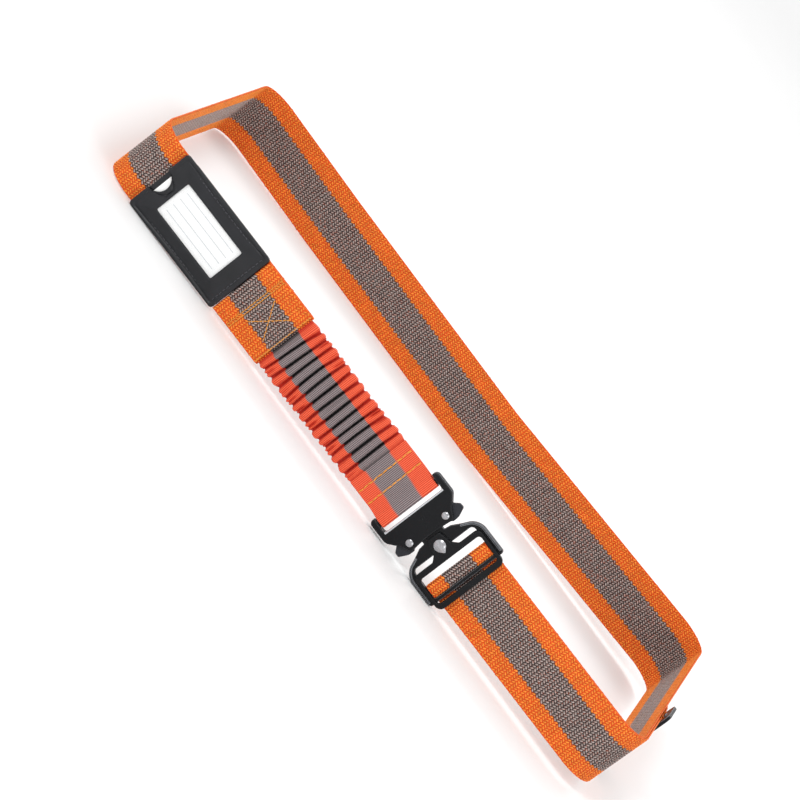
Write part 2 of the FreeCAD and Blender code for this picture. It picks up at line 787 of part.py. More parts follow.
def side_strip(name, face_x, outwards, back, bottom, start, end):
    """A straight of webbing on a side run, start and end from the case's middle."""
    low = face_x + back if outwards > 0 else face_x - back - THICK
    box = Part.makeBox(THICK, end - start, WIDTH, V(low, CASE_Y + start, bottom))
    return coded(name, box)


def back_strip(name, knots):
    """Webbing on the back run through (x from the middle, height) points."""
    lower = [V(CASE_X + x, BACK_FACE, height) for x, height in knots]
    upper = [point + V(0, 0, WIDTH) for point in reversed(lower)]
    outline = lower + upper
    face = Part.Face(Part.makePolygon(outline + [outline[0]]))
    return coded(name, face.extrude(V(0, THICK, 0)))


def webbing_runs():
    """One webbing in life, cut into straights and turns, with an open join at the back."""
    run_start = -STRAIGHT_HALF - SLOT_X
    run_end = STRAIGHT_HALF - SLOT_X
    front_strip("webbing_front_left", run_start, SIZE["fold_start"] - 1.2, 0.0)
    front_strip("webbing_front_right", SIZE["bar_start"] + 1.0, run_end, 0.0)
    front_strip("return_layer_front", SIZE["bar_end"] + 2.4, run_end, SECOND_LAYER)
    corner_strip("webbing_turn_front_left", -1, -1, 0.0, LEFT_LIFT)
    corner_strip("webbing_turn_back_left", -1, 1, 0.0, LEFT_LIFT)
    corner_strip("webbing_turn_front_right", 1, -1, 0.0, RIGHT_LIFT)
    corner_strip("webbing_turn_back_right", 1, 1, 0.0, RIGHT_LIFT)
    corner_strip("return_layer_turn", 1, -1, SECOND_LAYER, RIGHT_LIFT)
    side_strip("webbing_side_left", LEFT_FACE, -1, 0.0, LEFT_LIFT, -SIDE_HALF, SIDE_HALF)
    side_strip("webbing_side_right", RIGHT_FACE, 1, 0.0, RIGHT_LIFT, -SIDE_HALF, SIDE_HALF)
    stop = SIZE["glide_place"] - SIZE["glide_length"] / 2 - SIZE["glide_room"]
    side_strip("return_layer_side", RIGHT_FACE, 1, SECOND_LAYER, RIGHT_LIFT, -SIDE_HALF, stop)
    join = SIZE["back_join"] / 2
    left_knots = [(-STRAIGHT_HALF, LEFT_LIFT), (SIZE["back_left_foot"], 0), (-join, 0)]
    back_strip("webbing_back_left", left_knots)
    right_knots = [(join, 0), (SIZE["back_right_foot"], 0), (STRAIGHT_HALF, RIGHT_LIFT)]
    back_strip("webbing_back_right", right_knots)


# ---------------------------------------------------------------- adjuster


def triglide():
    """Three-bar slider: rounded frame, and a lower centre bar that grips the webbing."""
    body = new_body("triglide_frame")
    sketch = new_sketch(body, "XY_Plane", "Sizes.glide_rise")
    reach = SIZE["glide_length"] / 2
    half = SIZE["tongue_half"]
    draw(sketch, rounded(box_corners(-reach, reach, -half, half, 5.0)))
    slot = reach - SIZE["glide_bar"]
    window = SIZE["window_half"]
    draw(sketch, rounded(box_corners(-slot, slot, -window, window, 2.0)))
    pad(body, sketch, "Sizes.glide_thick")
    round_edges(body, SIZE["glide_rise"] + SIZE["glide_thick"], "Sizes.edge_round + 0.3")
    bar = new_sketch(body, "XZ_Plane")
    centre = SIZE["glide_centre_bar"] / 2
    draw(bar, rounded(box_corners(-centre, centre, CENTRE_BAR_BACK, CENTRE_BAR_FRONT)))
    pad(body, bar, "2 * Sizes.window_half + 2", both_ways=True)
    add_node(body, "triglide_frame", RIGHT)


def triglide_webbing():
    """The fold sewn round the centre bar and the strap threaded over it."""
    centre = SIZE["glide_centre_bar"] / 2
    wall = SIZE["fold_wall"]
    fold = new_body("sewn_fold")
    sketch = new_sketch(fold, "XZ_Plane")
    for grow, corner in ((ROOM, 0.0), (ROOM + wall, wall - 2 * ROOM)):
        reach = centre + grow
        corners = box_corners(-reach, reach, CENTRE_BAR_BACK - grow, CENTRE_BAR_FRONT + grow, corner)
        draw(sketch, rounded(corners))
    pad(fold, sketch, "Sizes.webbing_width", both_ways=True)
    add_node(fold, "sewn_fold", RIGHT)
    hump = new_body("threaded_webbing")
    sketch = new_sketch(hump, "XZ_Plane")
    end = SIZE["glide_length"] / 2 + 4.0
    foot, crest = 10.6, 5.4
    floor = SECOND_LAYER + ROOM
    under = [
        (-end, floor), (-foot, floor, 2.0), (-crest, THREADED_BACK, 1.5),
        (crest, THREADED_BACK, 1.5), (foot, floor, 2.0), (end, floor),
    ]
    over = [(x, z + SIZE["threaded_thick"], *r) for x, z, *r in reversed(under)]
    draw(sketch, rounded(under + over))
    pad(hump, sketch, "Sizes.webbing_width", both_ways=True)
    add_node(hump, "threaded_webbing", RIGHT)


# ---------------------------------------------------------------- build and write

socket_plate("socket_top_plate", "Sizes.socket_back + Sizes.plate_thick + Sizes.socket_gap", SOCKET_FRONT)
socket_plate("socket_back_plate", "Sizes.socket_back", SOCKET_BACK)
tongue_guide()
lever_rivets()
web_bar()
for side in (1, -1):
    lever(side)
    lever_spring(side)
sewn_end_loop()
tongue_plate()
top_frame()
dome_rivet()
cross_bar()
bar_wrap()
elastic_sleeve()
slab("elastic_band", "Sizes.elastic_start", "Sizes.elastic_end",
     "Sizes.band_half", "Sizes.band_back", "Sizes.band_thick")
slab("webbing_fold", "Sizes.fold_start", "Sizes.elastic_start - 2 * Sizes.room",
     "Sizes.webbing_width / 2", "0", "Sizes.fold_thick")
label_holder()
webbing_runs()
triglide()
triglide_webbing()
doc.recompute()

for item in doc.Objects:
    if "Invalid" in item.State or "Error" in item.State:
        raise RuntimeError(f"{item.Label} did not build: {item.State}")
for item in nodes:
    if item.Shape.isNull() or not item.Shape.isValid():
        raise RuntimeError(f"{item.Label} has no valid shape")

os.makedirs("parts", exist_ok=True)
for item in nodes:
    item.Shape.exportStep(f"parts/{item.Label}.step")
print(f"{len(nodes)} sub-parts, front run tilted {TILT:.3f} degrees, right lift {RIGHT_LIFT:.3f}")
print(f"case middle {CASE_X:.3f} {CASE_Y:.3f}, slot point {SLOT_POINT}")
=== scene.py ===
import json
import math

import bpy
import numpy as np
from mathutils import Matrix, Vector


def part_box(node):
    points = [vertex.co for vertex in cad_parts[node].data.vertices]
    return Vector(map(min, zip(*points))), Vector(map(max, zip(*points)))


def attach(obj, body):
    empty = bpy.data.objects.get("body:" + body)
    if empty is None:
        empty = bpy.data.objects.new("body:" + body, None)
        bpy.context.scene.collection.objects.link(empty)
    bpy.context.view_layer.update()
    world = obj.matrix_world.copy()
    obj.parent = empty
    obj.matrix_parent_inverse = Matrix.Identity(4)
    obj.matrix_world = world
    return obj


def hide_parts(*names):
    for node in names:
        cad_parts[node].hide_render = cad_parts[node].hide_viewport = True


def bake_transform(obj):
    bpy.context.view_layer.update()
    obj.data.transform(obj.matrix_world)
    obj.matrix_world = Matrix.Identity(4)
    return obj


# A luggage strap, buckled into a loop and standing on its edge.  Lengths are in millimetres
# until a mesh is made.  Front-run pieces use the strap's own frame, with the CAD's own sizes:
# u along the strap from the label to the adjuster, v across its width, w outwards.

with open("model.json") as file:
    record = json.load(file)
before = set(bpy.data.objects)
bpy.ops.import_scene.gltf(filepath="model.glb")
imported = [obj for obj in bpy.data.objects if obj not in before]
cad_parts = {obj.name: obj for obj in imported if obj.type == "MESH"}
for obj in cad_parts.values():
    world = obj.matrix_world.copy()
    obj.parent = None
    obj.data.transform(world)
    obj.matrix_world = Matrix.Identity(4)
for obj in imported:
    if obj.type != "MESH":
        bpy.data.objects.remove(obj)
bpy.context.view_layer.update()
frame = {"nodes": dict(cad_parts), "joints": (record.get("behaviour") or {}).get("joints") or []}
NODES = frame["nodes"]
MM = 0.001
SEED = 7


def node_box(name):
    """Lowest and highest corners of a CAD node, in millimetres."""
    low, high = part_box(name)
    return np.array(low) / MM, np.array(high) / MM


# ---- where the CAD lies

SIDE_LEFT = node_box("webbing_side_left")
SIDE_RIGHT = node_box("webbing_side_right")
BACK = node_box("webbing_back_left")
BAND = node_box("elastic_band")
WIDTH = SIDE_LEFT[1][2] - SIDE_LEFT[0][2]
THICK = SIDE_LEFT[1][0] - SIDE_LEFT[0][0]
LEFT_FACE, RIGHT_FACE = SIDE_LEFT[1][0], SIDE_RIGHT[0][0]
FRONT_FACE = node_box("webbing_front_left")[1][1]
BACK_FACE = BACK[0][1]
CASE_X = (LEFT_FACE + RIGHT_FACE) / 2
CASE_Y = (FRONT_FACE + BACK_FACE) / 2
SIDE_HALF = (SIDE_LEFT[1][1] - SIDE_LEFT[0][1]) / 2
CORNER = CASE_Y - SIDE_HALF - FRONT_FACE
STRAIGHT_HALF = (RIGHT_FACE - LEFT_FACE) / 2 - CORNER
LEFT_LIFT, RIGHT_LIFT = SIDE_LEFT[0][2], SIDE_RIGHT[0][2]
BACK_FEET = (-150.0, 40.0)  # the back run stands on the floor between these, from its middle
SECOND_LAYER = node_box("return_layer_side")[0][0] - RIGHT_FACE
CLEAR = 0.1  # room between two layers

ALONG = np.array(next(j["axis"] for j in frame["joints"] if j["name"] == "buckle_release"))
OUT = np.array((0.0, -1.0, 0.0))
ACROSS = np.cross(OUT, ALONG)
ELASTIC = (-137.9, -39.9)
BAND_MIDDLE = (sum(ELASTIC) / 2, 2.9)  # u and w of the elastic band's middle
ORIGIN = (BAND[0] + BAND[1]) / 2 - BAND_MIDDLE[0] * ALONG - BAND_MIDDLE[1] * OUT
GLIDE = node_box("triglide_frame")
GLIDE_Y = (GLIDE[0][1] + GLIDE[1][1]) / 2


def at(u, v, w):
    """A point of the front run, in metres."""
    return Vector((ORIGIN + u * ALONG + v * ACROSS + w * OUT) * MM)


def from_strap(local):
    """Rows of u, v, w as points of the shared frame, still in millimetres."""
    return ORIGIN + local[:, :1] * ALONG + local[:, 1:2] * ACROSS + local[:, 2:] * OUT


# ---- routes and ribbons


class Route:
    """A flat path through corners (x, y, radius), measured by the length along it."""

    STEP = math.radians(6)

    def __init__(self, corners, side=1.0):
        points = []
        for i, corner in enumerate(corners):
            here = np.array(corner[:2], float)
            radius = corner[2] if len(corner) > 2 else 0.0
            if radius == 0.0 or i in (0, len(corners) - 1):
                points.append(here)
                continue
            back = np.array(corners[i - 1][:2]) - here
            on = np.array(corners[i + 1][:2]) - here
            back, on = back / np.linalg.norm(back), on / np.linalg.norm(on)
            half = math.acos(np.clip(back @ on, -1, 1)) / 2
            centre = here + (back + on) / np.linalg.norm(back + on) * radius / math.sin(half)
            start, end = here + back * radius / math.tan(half), here + on * radius / math.tan(half)
            first = math.atan2(*(start - centre)[::-1])
            turn = math.atan2(*(end - centre)[::-1]) - first
            turn = (turn + math.pi) % (2 * math.pi) - math.pi
            for share in np.linspace(0, 1, max(2, int(abs(turn) / self.STEP) + 1)):
                angle = first + turn * share
                points.append(centre + radius * np.array((math.cos(angle), math.sin(angle))))
        points = np.array(points)
        steps = np.linalg.norm(np.diff(points, axis=0), axis=1)
        points = points[np.concatenate(([True], steps > 1e-6))]
        steps = np.linalg.norm(np.diff(points, axis=0), axis=1)
        self.points = points
        self.reach = np.concatenate(([0.0], np.cumsum(steps)))
        self.length = self.reach[-1]
        heading = np.gradient(points, self.reach, axis=0)
        heading /= np.linalg.norm(heading, axis=1)[:, None]
        self.normals = side * np.column_stack((heading[:, 1], -heading[:, 0]))

    def locate(self, s):
        """Places and outward normals at lengths s, as x, y, normal x and normal y."""
        columns = (self.points[:, 0], self.points[:, 1], self.normals[:, 0], self.normals[:, 1])
        return [np.interp(s, self.reach, column) for column in columns]


class Ribbon:
    """A strip of cloth along a route; points are (s along, t across, d outwards)."""

    def __init__(self, route, place, width=WIDTH, thick=THICK):
        self.route, self.place = route, place
        self.width, self.thick = width, thick

    def points(self, s, t, d):
        x, y, nx, ny = self.route.locate(s)
        return self.place(s, x + nx * d, y + ny * d, t)


def on_front(width=WIDTH):
    """A function that places a (u, w) route on the front run, for a strip of this width."""

    def place(s, u, w, t):
        return from_strap(np.column_stack((u, t - width / 2, w)))

    return place


def on_right(s, y, x, t):
    """Places a (y from the adjuster's middle, x from the case) route on the right run."""
    return np.column_stack((RIGHT_FACE + x, GLIDE_Y + y, RIGHT_LIFT + t))


# Lengths round the case, from the middle of the front run, at which each run starts and ends.
QUARTER = CORNER * math.pi / 2
(FRONT_MIDDLE, FRONT_END, _, RIGHT_END, BACK_START, BACK_END, LEFT_START, _, FRONT_START,
 LOOP_END) = np.cumsum([0.0, STRAIGHT_HALF, QUARTER, 2 * SIDE_HALF, QUARTER, 2 * STRAIGHT_HALF,
                        QUARTER, 2 * SIDE_HALF, QUARTER, STRAIGHT_HALF])
BACK_MIDDLE = (BACK_START + BACK_END) / 2


def loop_corners(offset):
    """The case's plan from the middle of the front run round to it again, grown by offset."""
    x_half, y_half = STRAIGHT_HALF + CORNER + offset, SIDE_HALF + CORNER + offset
    radius = CORNER + offset
    plan = [(0, -y_half, 0), (x_half, -y_half, radius), (x_half, y_half, radius),
            (-x_half, y_half, radius), (-x_half, -y_half, radius), (0, -y_half, 0)]
    return [(CASE_X + x, CASE_Y + y, r) for x, y, r in plan]


LOOP = Route(loop_corners(THICK / 2))
LOOP_SCALE = LOOP.length / LOOP_END  # the strap's middle goes a little further than the case
SLOPE = ALONG[2] / ALONG[0]
SQUARE_UNTIL = 0.6 * FRONT_END
MIDDLE_LIFT = ORIGIN[2] - WIDTH / 2 - SLOPE * (ORIGIN[0] - CASE_X)


def loop_lift(s):
    """Height of the lower edge at length s round the case."""
    knots = [FRONT_MIDDLE, FRONT_END, BACK_START, BACK_MIDDLE - BACK_FEET[1],
             BACK_MIDDLE - BACK_FEET[0], BACK_END, FRONT_START, LOOP_END]
    heights = [MIDDLE_LIFT, RIGHT_LIFT, RIGHT_LIFT, 0.0, 0.0, LEFT_LIFT, LEFT_LIFT, MIDDLE_LIFT]
    return np.interp(s, knots, heights)


def on_loop(s, x, y, t):
    """Places a route round the case; beside the buckle the strip is square to its slope."""
    s = s / LOOP_SCALE
    square = np.interp(s, (SQUARE_UNTIL, FRONT_END), (1.0, 0.0))
    return np.column_stack((x - SLOPE * (t - WIDTH / 2) * square, y, loop_lift(s) + t))


# ---- meshes


def in_scene(name, data):
    """A new object that shows this data."""
    item = bpy.data.objects.new(name, data)
    bpy.context.scene.collection.objects.link(item)
    return item


def add_mesh(name, points, triangles, material, values=None, uv=None, caps=0):
    """A mesh object from millimetre points, triangles and a number per point and name.

    The last caps triangles are flat shaded, so that a strip's end keeps a crisp edge.
    """
    mesh = bpy.data.meshes.new(name)
    mesh.vertices.add(len(points))
    mesh.vertices.foreach_set("co", (np.asarray(points) * MM).astype(np.float32).ravel())
    triangles = np.asarray(triangles, np.int32)
    mesh.loops.add(triangles.size)
    mesh.loops.foreach_set("vertex_index", triangles.ravel())
    mesh.polygons.add(len(triangles))
    mesh.polygons.foreach_set("loop_start", np.arange(0, triangles.size, 3, dtype=np.int32))
    mesh.polygons.foreach_set("use_smooth", np.arange(len(triangles)) < len(triangles) - caps)
    mesh.update(calc_edges=True)
    for key, numbers in (values or {}).items():
        attribute = mesh.attributes.new(key, "FLOAT", "POINT")
        attribute.data.foreach_set("value", np.asarray(numbers, np.float32))
    if uv is not None:
        layer = mesh.uv_layers.new(name="cloth")
        layer.data.foreach_set("uv", uv[triangles.ravel()].astype(np.float32).ravel())
    mesh.validate()
    mesh.materials.append(material)
    return in_scene(name, mesh)


def grid_triangles(rows, columns, closed=False):
    """Triangles of a rows x columns grid of points; closed joins the last column on."""
    last = columns if closed else columns - 1
    i, j = np.meshgrid(np.arange(rows - 1), np.arange(last), indexing="ij")
    a, b = i * columns + j, i * columns + (j + 1) % columns
    c, d = a + columns, b + columns
    return np.concatenate([np.stack((a, b, d), -1).reshape(-1, 3),
                           np.stack((a, d, c), -1).reshape(-1, 3)])


def cap_triangles(count, rows):
    """Flat ends for a closed grid whose rows' first and middle points face each other."""
    k = np.arange(2, count // 2 + 1)
    near, far = count - k + 1, (count - k + 2) % count
    cap = np.concatenate((np.column_stack((k - 1, k, near)), np.column_stack((k - 1, near, far))))
    return np.concatenate((cap[:, ::-1], cap + (rows - 1) * count))


def crowded(count):
    """Numbers from -1 to 1 that lie closer together towards both ends."""
    share = np.linspace(-1, 1, count)
    return share * (1.5 - 0.5 * share**2)


def section_ring(width, thick, across):
    """(t, d) round a strip's section: outer face, edge, inner face, edge."""
    flat = 1 - 0.5 * thick / width
    t = width / 2 * (1 + crowded(across) * flat)
    return np.array([(0.0, 0.0), *((a, thick / 2) for a in t), (width, 0.0),
                     *((a, -thick / 2) for a in t[::-1])])


MIDDLE_SHARE = 0.47


def stripe(t, width):
    """1 in the middle band and 0 beside it."""
    return (np.abs(t - width / 2) < MIDDLE_SHARE * width / 2).astype(float)


def plain_strip(ribbon, start, end, step, across=24, relief=None, thin=0.0, **constants):
    """Closed strip between two lengths; relief(s, t) stands out from both faces.

    constants are numbers for the material that are the same at every point.
    """
    rows = max(2, int(math.ceil((end - start) / step)) + 1)
    s = np.linspace(start, end, rows)
    ring = section_ring(ribbon.width, ribbon.thick - thin, across)
    count = len(ring)
    s_all = np.repeat(s, count)
    t_all, d_all = np.tile(ring[:, 0], rows), np.tile(ring[:, 1], rows)
    if relief is not None:
        d_all = d_all + np.sign(d_all) * relief(s_all, t_all)
    points = ribbon.points(s_all, t_all, d_all)
    values = {key: np.full(len(points), number) for key, number in constants.items()}
    values["band"] = stripe(t_all, ribbon.width)
    triangles = grid_triangles(rows, count, closed=True)
    ends = cap_triangles(count, rows)
    return {
        "points": points,
        "triangles": np.concatenate((triangles, ends)),
        "values": values,
        "uv": np.column_stack((s_all, t_all)),
        "caps": len(ends),
    }


def front_strip(name, route, width, thick, step, material, across=24, **more):
    """A plain strip on the front run, along the whole of a (u, w) route."""
    ribbon = Ribbon(route, on_front(width), width=width, thick=thick)
    strip = plain_strip(ribbon, 0.0, route.length, step, across, **more)
    return add_mesh(name, material=material, **strip)


# A small closed pillow: a ring of six points, two crest points and a flat underside.
PILLOW = np.array([(-1, 0, 0), (-0.45, -1, 0), (0.45, -1, 0), (1, 0, 0), (0.45, 1, 0),
                   (-0.45, 1, 0), (-0.4, 0, 1), (0.5, 0, 1)])
PILLOW_FACES = np.array([(0, 1, 6), (1, 2, 7), (1, 7, 6), (2, 3, 7), (3, 4, 7), (4, 5, 6),
                         (4, 6, 7), (5, 0, 6), (0, 5, 1), (1, 5, 4), (1, 4, 2), (2, 4, 3)])
# PILLOW_SHADE is painted light: painted shade at each float's root and sides and a painted
# highlight on its crests, brightest at the front crest.
PILLOW_SHADE = np.array([0.1, 0.3, 0.3, 0.35, 0.3, 0.3, 0.62, 1.0])


def pillows(centres, axes, sizes, tints, bands):
    """Points in strip coordinates, triangles and values of many small pillows.

    centres is (n, 3), axes is (n, 3, 3) with rows for length, width and height.
    """
    count = len(centres)
    local = PILLOW[None] * sizes[:, None, :]
    points = centres[:, None, :] + np.einsum("nij,njk->nik", local, axes)
    flipped = np.linalg.det(axes) < 0
    faces = np.repeat(PILLOW_FACES[None], count, axis=0)
    faces[flipped] = faces[flipped][:, :, ::-1]
    faces = faces + (np.arange(count) * len(PILLOW))[:, None, None]
    values = {
        "shade": np.tile(PILLOW_SHADE, count),
        "tint": np.repeat(tints, len(PILLOW)),
        "band": np.repeat(bands, len(PILLOW)),
    }
    return points.reshape(-1, 3), faces.reshape(-1, 3), values


COLUMN, ROW = 2.4, 2.0
SLANT = math.radians(38)
YARN = (1.64, 0.8, 0.42)  # half length, half width and height of one float
YARN_MARGIN = 0.6
YARN_SINK = 0.3
YARN_JITTER = (0.06, 0.04, 0.05, 0.05)  # of slant, place along, place across and size
WRAP = 0.5  # depth of the yarns that wrap the edges


def weave_yarns(ribbon, start, end, rng):
    """Floats of the weave on both faces, slanted one way and the other, and its edges."""
    columns, rows = round((end - start) / COLUMN), round(ribbon.width / ROW)
    pitch = (end - start) / columns
    i, j, face = (a.ravel() for a in np.meshgrid(np.arange(columns), np.arange(rows),
                                                 (1.0, -1.0), indexing="ij"))
    odd = (i + round(start / COLUMN)) % 2
    s = start + (i + 0.5) * pitch
    room = ribbon.width - 2 * YARN_MARGIN
    t = YARN_MARGIN + (j + 0.5) * room / rows + (odd - 0.5) * ROW / 2
    slant = SLANT * (1 - 2 * odd)
    jitter = rng.normal(0, 1, (len(s), 4)) * YARN_JITTER
    slant = slant + jitter[:, 0]
    centres = np.column_stack((s + jitter[:, 1], t + jitter[:, 2],
                               face * (ribbon.thick / 2 - YARN_SINK)))
    cosine, sine, zero = np.cos(slant), np.sin(slant), np.zeros(len(s))
    axes = np.column_stack((cosine, sine, zero, -sine, cosine, zero, zero, zero, face))
    axes = axes.reshape(-1, 3, 3)
    sizes = np.array(YARN) * (1 + jitter[:, 3:4])
    bands = stripe(t, ribbon.width)
    groups = [(centres, axes, sizes, bands)]
    halves = start + (np.arange(2 * columns) + 0.5) * pitch / 2
    for edge, outwards in ((WRAP, -1.0), (ribbon.width - WRAP, 1.0)):
        count = len(halves)
        centres = np.column_stack((halves, np.full(count, edge), np.zeros(count)))
        axes = np.tile(np.array([(0, 0, 1.0), (1.0, 0, 0), (0, outwards, 0)]), (count, 1, 1))
        sizes = np.tile((ribbon.thick / 2 - CLEAR / 2, pitch / 4, WRAP), (count, 1))
        groups.append((centres, axes, sizes, np.zeros(count)))
    centres, axes, sizes, bands = (np.concatenate(parts) for parts in zip(*groups))
    tints = rng.uniform(0, 1, len(centres))
    return pillows(centres, axes, sizes, tints, bands)


def shown_as(item, body, replaced=()):
    """Ride a body named by a string, or else bake the object's place into its mesh; hide the CAD
    nodes it stands for.
    """
    if isinstance(body, str):
        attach(item, body)
    else:
        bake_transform(item)
    if replaced:
        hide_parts(*replaced)
    return item


def woven(name, ribbon, start, end, body, replaced=()):
    """A woven strap: a plain core, and every float of the weave in a second mesh on it."""
    rng = np.random.default_rng(SEED + len(name))
    # The core between the floats takes shade 0, the darkest end of the webbing's colours: painted
    # shade.
    strip = plain_strip(ribbon, start, end, COLUMN, thin=2 * YARN_SINK, shade=0.0, tint=0.5)
    core = add_mesh(name, material=webbing, **strip)
    points, triangles, values = weave_yarns(ribbon, start, end, rng)
    yarns = add_mesh(name + "_yarns", ribbon.points(*points.T), triangles, webbing,
                     values, uv=points[:, :2])
    shown_as(core, body, replaced)
    shown_as(yarns, body)
    return core


# ---- materials


def srgb(*screen):
    """Linear colour from a screen colour's red, green and blue of 0 to 255."""
    linear = [((c / 255 + 0.055) / 1.055) ** 2.4 if c > 10 else c / 255 / 12.92 for c in screen]
    return (*linear, 1.0)


class Shader:
    """A Principled material being wired up."""

    def __init__(self, name, **numbers):
        self.material = bpy.data.materials.new(name)
        self.material.use_nodes = True
        self.tree = self.material.node_tree
        self.principled = self.tree.nodes["Principled BSDF"]
        for socket, value in numbers.items():
            self.principled.inputs[socket.replace("_", " ")].default_value = value

    def node(self, kind, inputs=None, **settings):
        """A new node; an input is linked when its value is another node's socket."""
        made = self.tree.nodes.new("ShaderNode" + kind)
        for key, value in settings.items():
            setattr(made, key, value)
        for socket, value in (inputs or {}).items():
            if isinstance(value, bpy.types.NodeSocket):
                self.tree.links.new(value, made.inputs[socket])
            else:
                made.inputs[socket].default_value = value
        return made

    def attribute(self, name):
        return self.node("Attribute", attribute_name=name).outputs["Fac"]

    def math(self, operation, *values):
        return self.node("Math", dict(enumerate(values)), operation=operation).outputs[0]

    def mix(self, share, first, second):
        """A colour between two; the Mix node's colours are its inputs 6 and 7."""
        return self.node("Mix", {0: share, 6: first, 7: second}, data_type="RGBA").outputs[2]

    def remap(self, value, low, high):
        """value from 0..1 onto low..high."""
        return self.math("MULTIPLY_ADD", value, high - low, low)

    def place(self):
        return self.node("TexCoord").outputs["Object"]

    def noise(self, scale, detail=2.0, vector=None):
        inputs = {"Scale": scale, "Detail": detail, "Vector": vector or self.place()}
        return self.node("TexNoise", inputs).outputs["Fac"]

    def bump(self, height, distance, strength=1.0, normal=None):
        inputs = {"Height": height, "Distance": distance, "Strength": strength}
        if normal:
            inputs["Normal"] = normal
        self.drive("Normal", self.node("Bump", inputs).outputs[0])

    def drive(self, socket, value):
        self.tree.links.new(value, self.principled.inputs[socket])


def cloth_coordinates(shader):
    """Length along the cloth and length across it, in millimetres."""
    uv = shader.node("UVMap", uv_map="cloth").outputs[0]
    split = shader.node("SeparateXYZ", {"Vector": uv})
    return split.outputs[0], split.outputs[1]


RIB, BEAD, KNIT = 1.15, 0.9, 1.6  # pitches of the elastic's ribs, their stitches and its core


def make_webbing():
    """Coarse polyester weave: painted highlights turn the floats' crests pale orange and pale
    taupe, painted shade turns their roots and the core dark orange and dark brown.
    """
    shader = Shader("webbing", Specular_IOR_Level=0.25, Sheen_Weight=0.04, Sheen_Roughness=0.4)
    band, shade, tint = (shader.attribute(name) for name in ("band", "shade", "tint"))
    # dark is painted shade and light a painted highlight, mixed by the shade attribute from a
    # float's root to its crest.
    dark = shader.mix(band, srgb(226, 80, 10), srgb(54, 35, 33))
    light = shader.mix(band, srgb(255, 172, 66), srgb(208, 192, 185))
    colour = shader.mix(shader.math("POWER", shade, 1.5), dark, light)
    fleck = shader.noise(900.0, 1.0)
    stray = shader.math("MULTIPLY", shader.math("GREATER_THAN", fleck, 0.62), 0.3)
    colour = shader.mix(stray, colour, srgb(215, 95, 45))
    brightness = shader.remap(tint, 0.86, 1.1)
    value = shader.node("HueSaturation", {"Value": brightness, "Color": colour}).outputs[0]
    shader.drive("Base Color", value)
    shader.drive("Roughness", shader.remap(shader.noise(350.0), 0.5, 0.75))
    shader.bump(shader.noise(4200.0, 1.0), 0.0001, 0.6)
    return shader.material


def make_elastic():
    """Fine ribbed cloth of the gathered sleeve and the sewn end, with painted highlights on its
    ribs and painted shade in its grooves and creases.
    """
    shader = Shader("elastic_cloth", Roughness=0.6, Specular_IOR_Level=0.3, Sheen_Weight=0.05,
                    Sheen_Roughness=0.4)
    along, across = cloth_coordinates(shader)
    band, depth, shade = (shader.attribute(name) for name in ("band", "depth", "shade"))
    wave = shader.math("SINE", shader.math("MULTIPLY", along, 2 * math.pi / RIB))
    beads = shader.math("SINE", shader.math("MULTIPLY_ADD", across, 2 * math.pi / BEAD,
                                            shader.math("MULTIPLY", wave, 1.4)))
    # Painted highlights along the crests of the ribs and painted shade between them, scaled by the
    # shade attribute; the beads add the stitch pattern.
    rib_light = shader.remap(shader.math("MULTIPLY", wave, shade), 0.5, 1.0)
    texture = shader.math("MULTIPLY_ADD", beads, 0.16, rib_light)
    red = shader.mix(texture, srgb(190, 44, 20), srgb(255, 112, 72))
    grey = shader.mix(texture, srgb(62, 52, 54), srgb(163, 149, 150))
    colour = shader.mix(band, red, grey)
    # Painted shade in the sleeve's grooves and creases: dark red in the red bands and near black in
    # the grey one, placed by the depth attribute.
    groove_shade = shader.mix(band, srgb(186, 36, 14), srgb(14, 11, 12))
    groove_shade_ramp = shader.node("MapRange", {"Value": depth, "From Min": 0.24, "From Max": 0.72})
    colour = shader.mix(groove_shade_ramp.outputs[0], groove_shade, colour)
    shader.drive("Base Color", colour)
    height = shader.math("MULTIPLY_ADD", beads, 0.35, wave)
    shader.bump(height, 0.00012, 0.7)
    return shader.material


def speckled(name, grain, dark, light, bump=(), **numbers):
    """A shader of two close colours.

    grain is a noise's scale and detail; bump is a scale, detail, height and strength.
    """
    shader = Shader(name, **numbers)
    shader.drive("Base Color", shader.mix(shader.noise(*grain), srgb(*dark), srgb(*light)))
    if bump:
        shader.bump(shader.noise(*bump[:2]), *bump[2:])
    return shader


def make_thread(name, dark, light, **numbers):
    """Sewing thread with a tight twist."""
    return speckled(name, (1500.0, 1.0), dark, light, (3000.0, 2.0, 0.0002, 0.6),
                    **numbers).material


def edge_wear_and_highlight(shader, radius):
    """A normal rounded over edges, and a mask of 0 on flat faces and up to 1 at edges, where wear
    and a painted highlight lighten the colour.
    """
    soft = shader.node("Bevel", {"Radius": radius}, samples=8).outputs[0]
    true_normal = shader.node("NewGeometry").outputs["Normal"]
    facing = shader.node("VectorMath", {0: soft, 1: true_normal}, operation="DOT_PRODUCT")
    wear_and_highlight = shader.node("MapRange", {"Value": facing.outputs["Value"], "From Min": 0.995,
                                    "From Max": 0.92})
    return soft, wear_and_highlight.outputs[0]


# The socket's slot has a bare edge: its place and half width along the strap, and half length.
SLOT_EDGE, SLOT_BEVEL, SLOT_HALF = 0.4, 0.75, 24.8


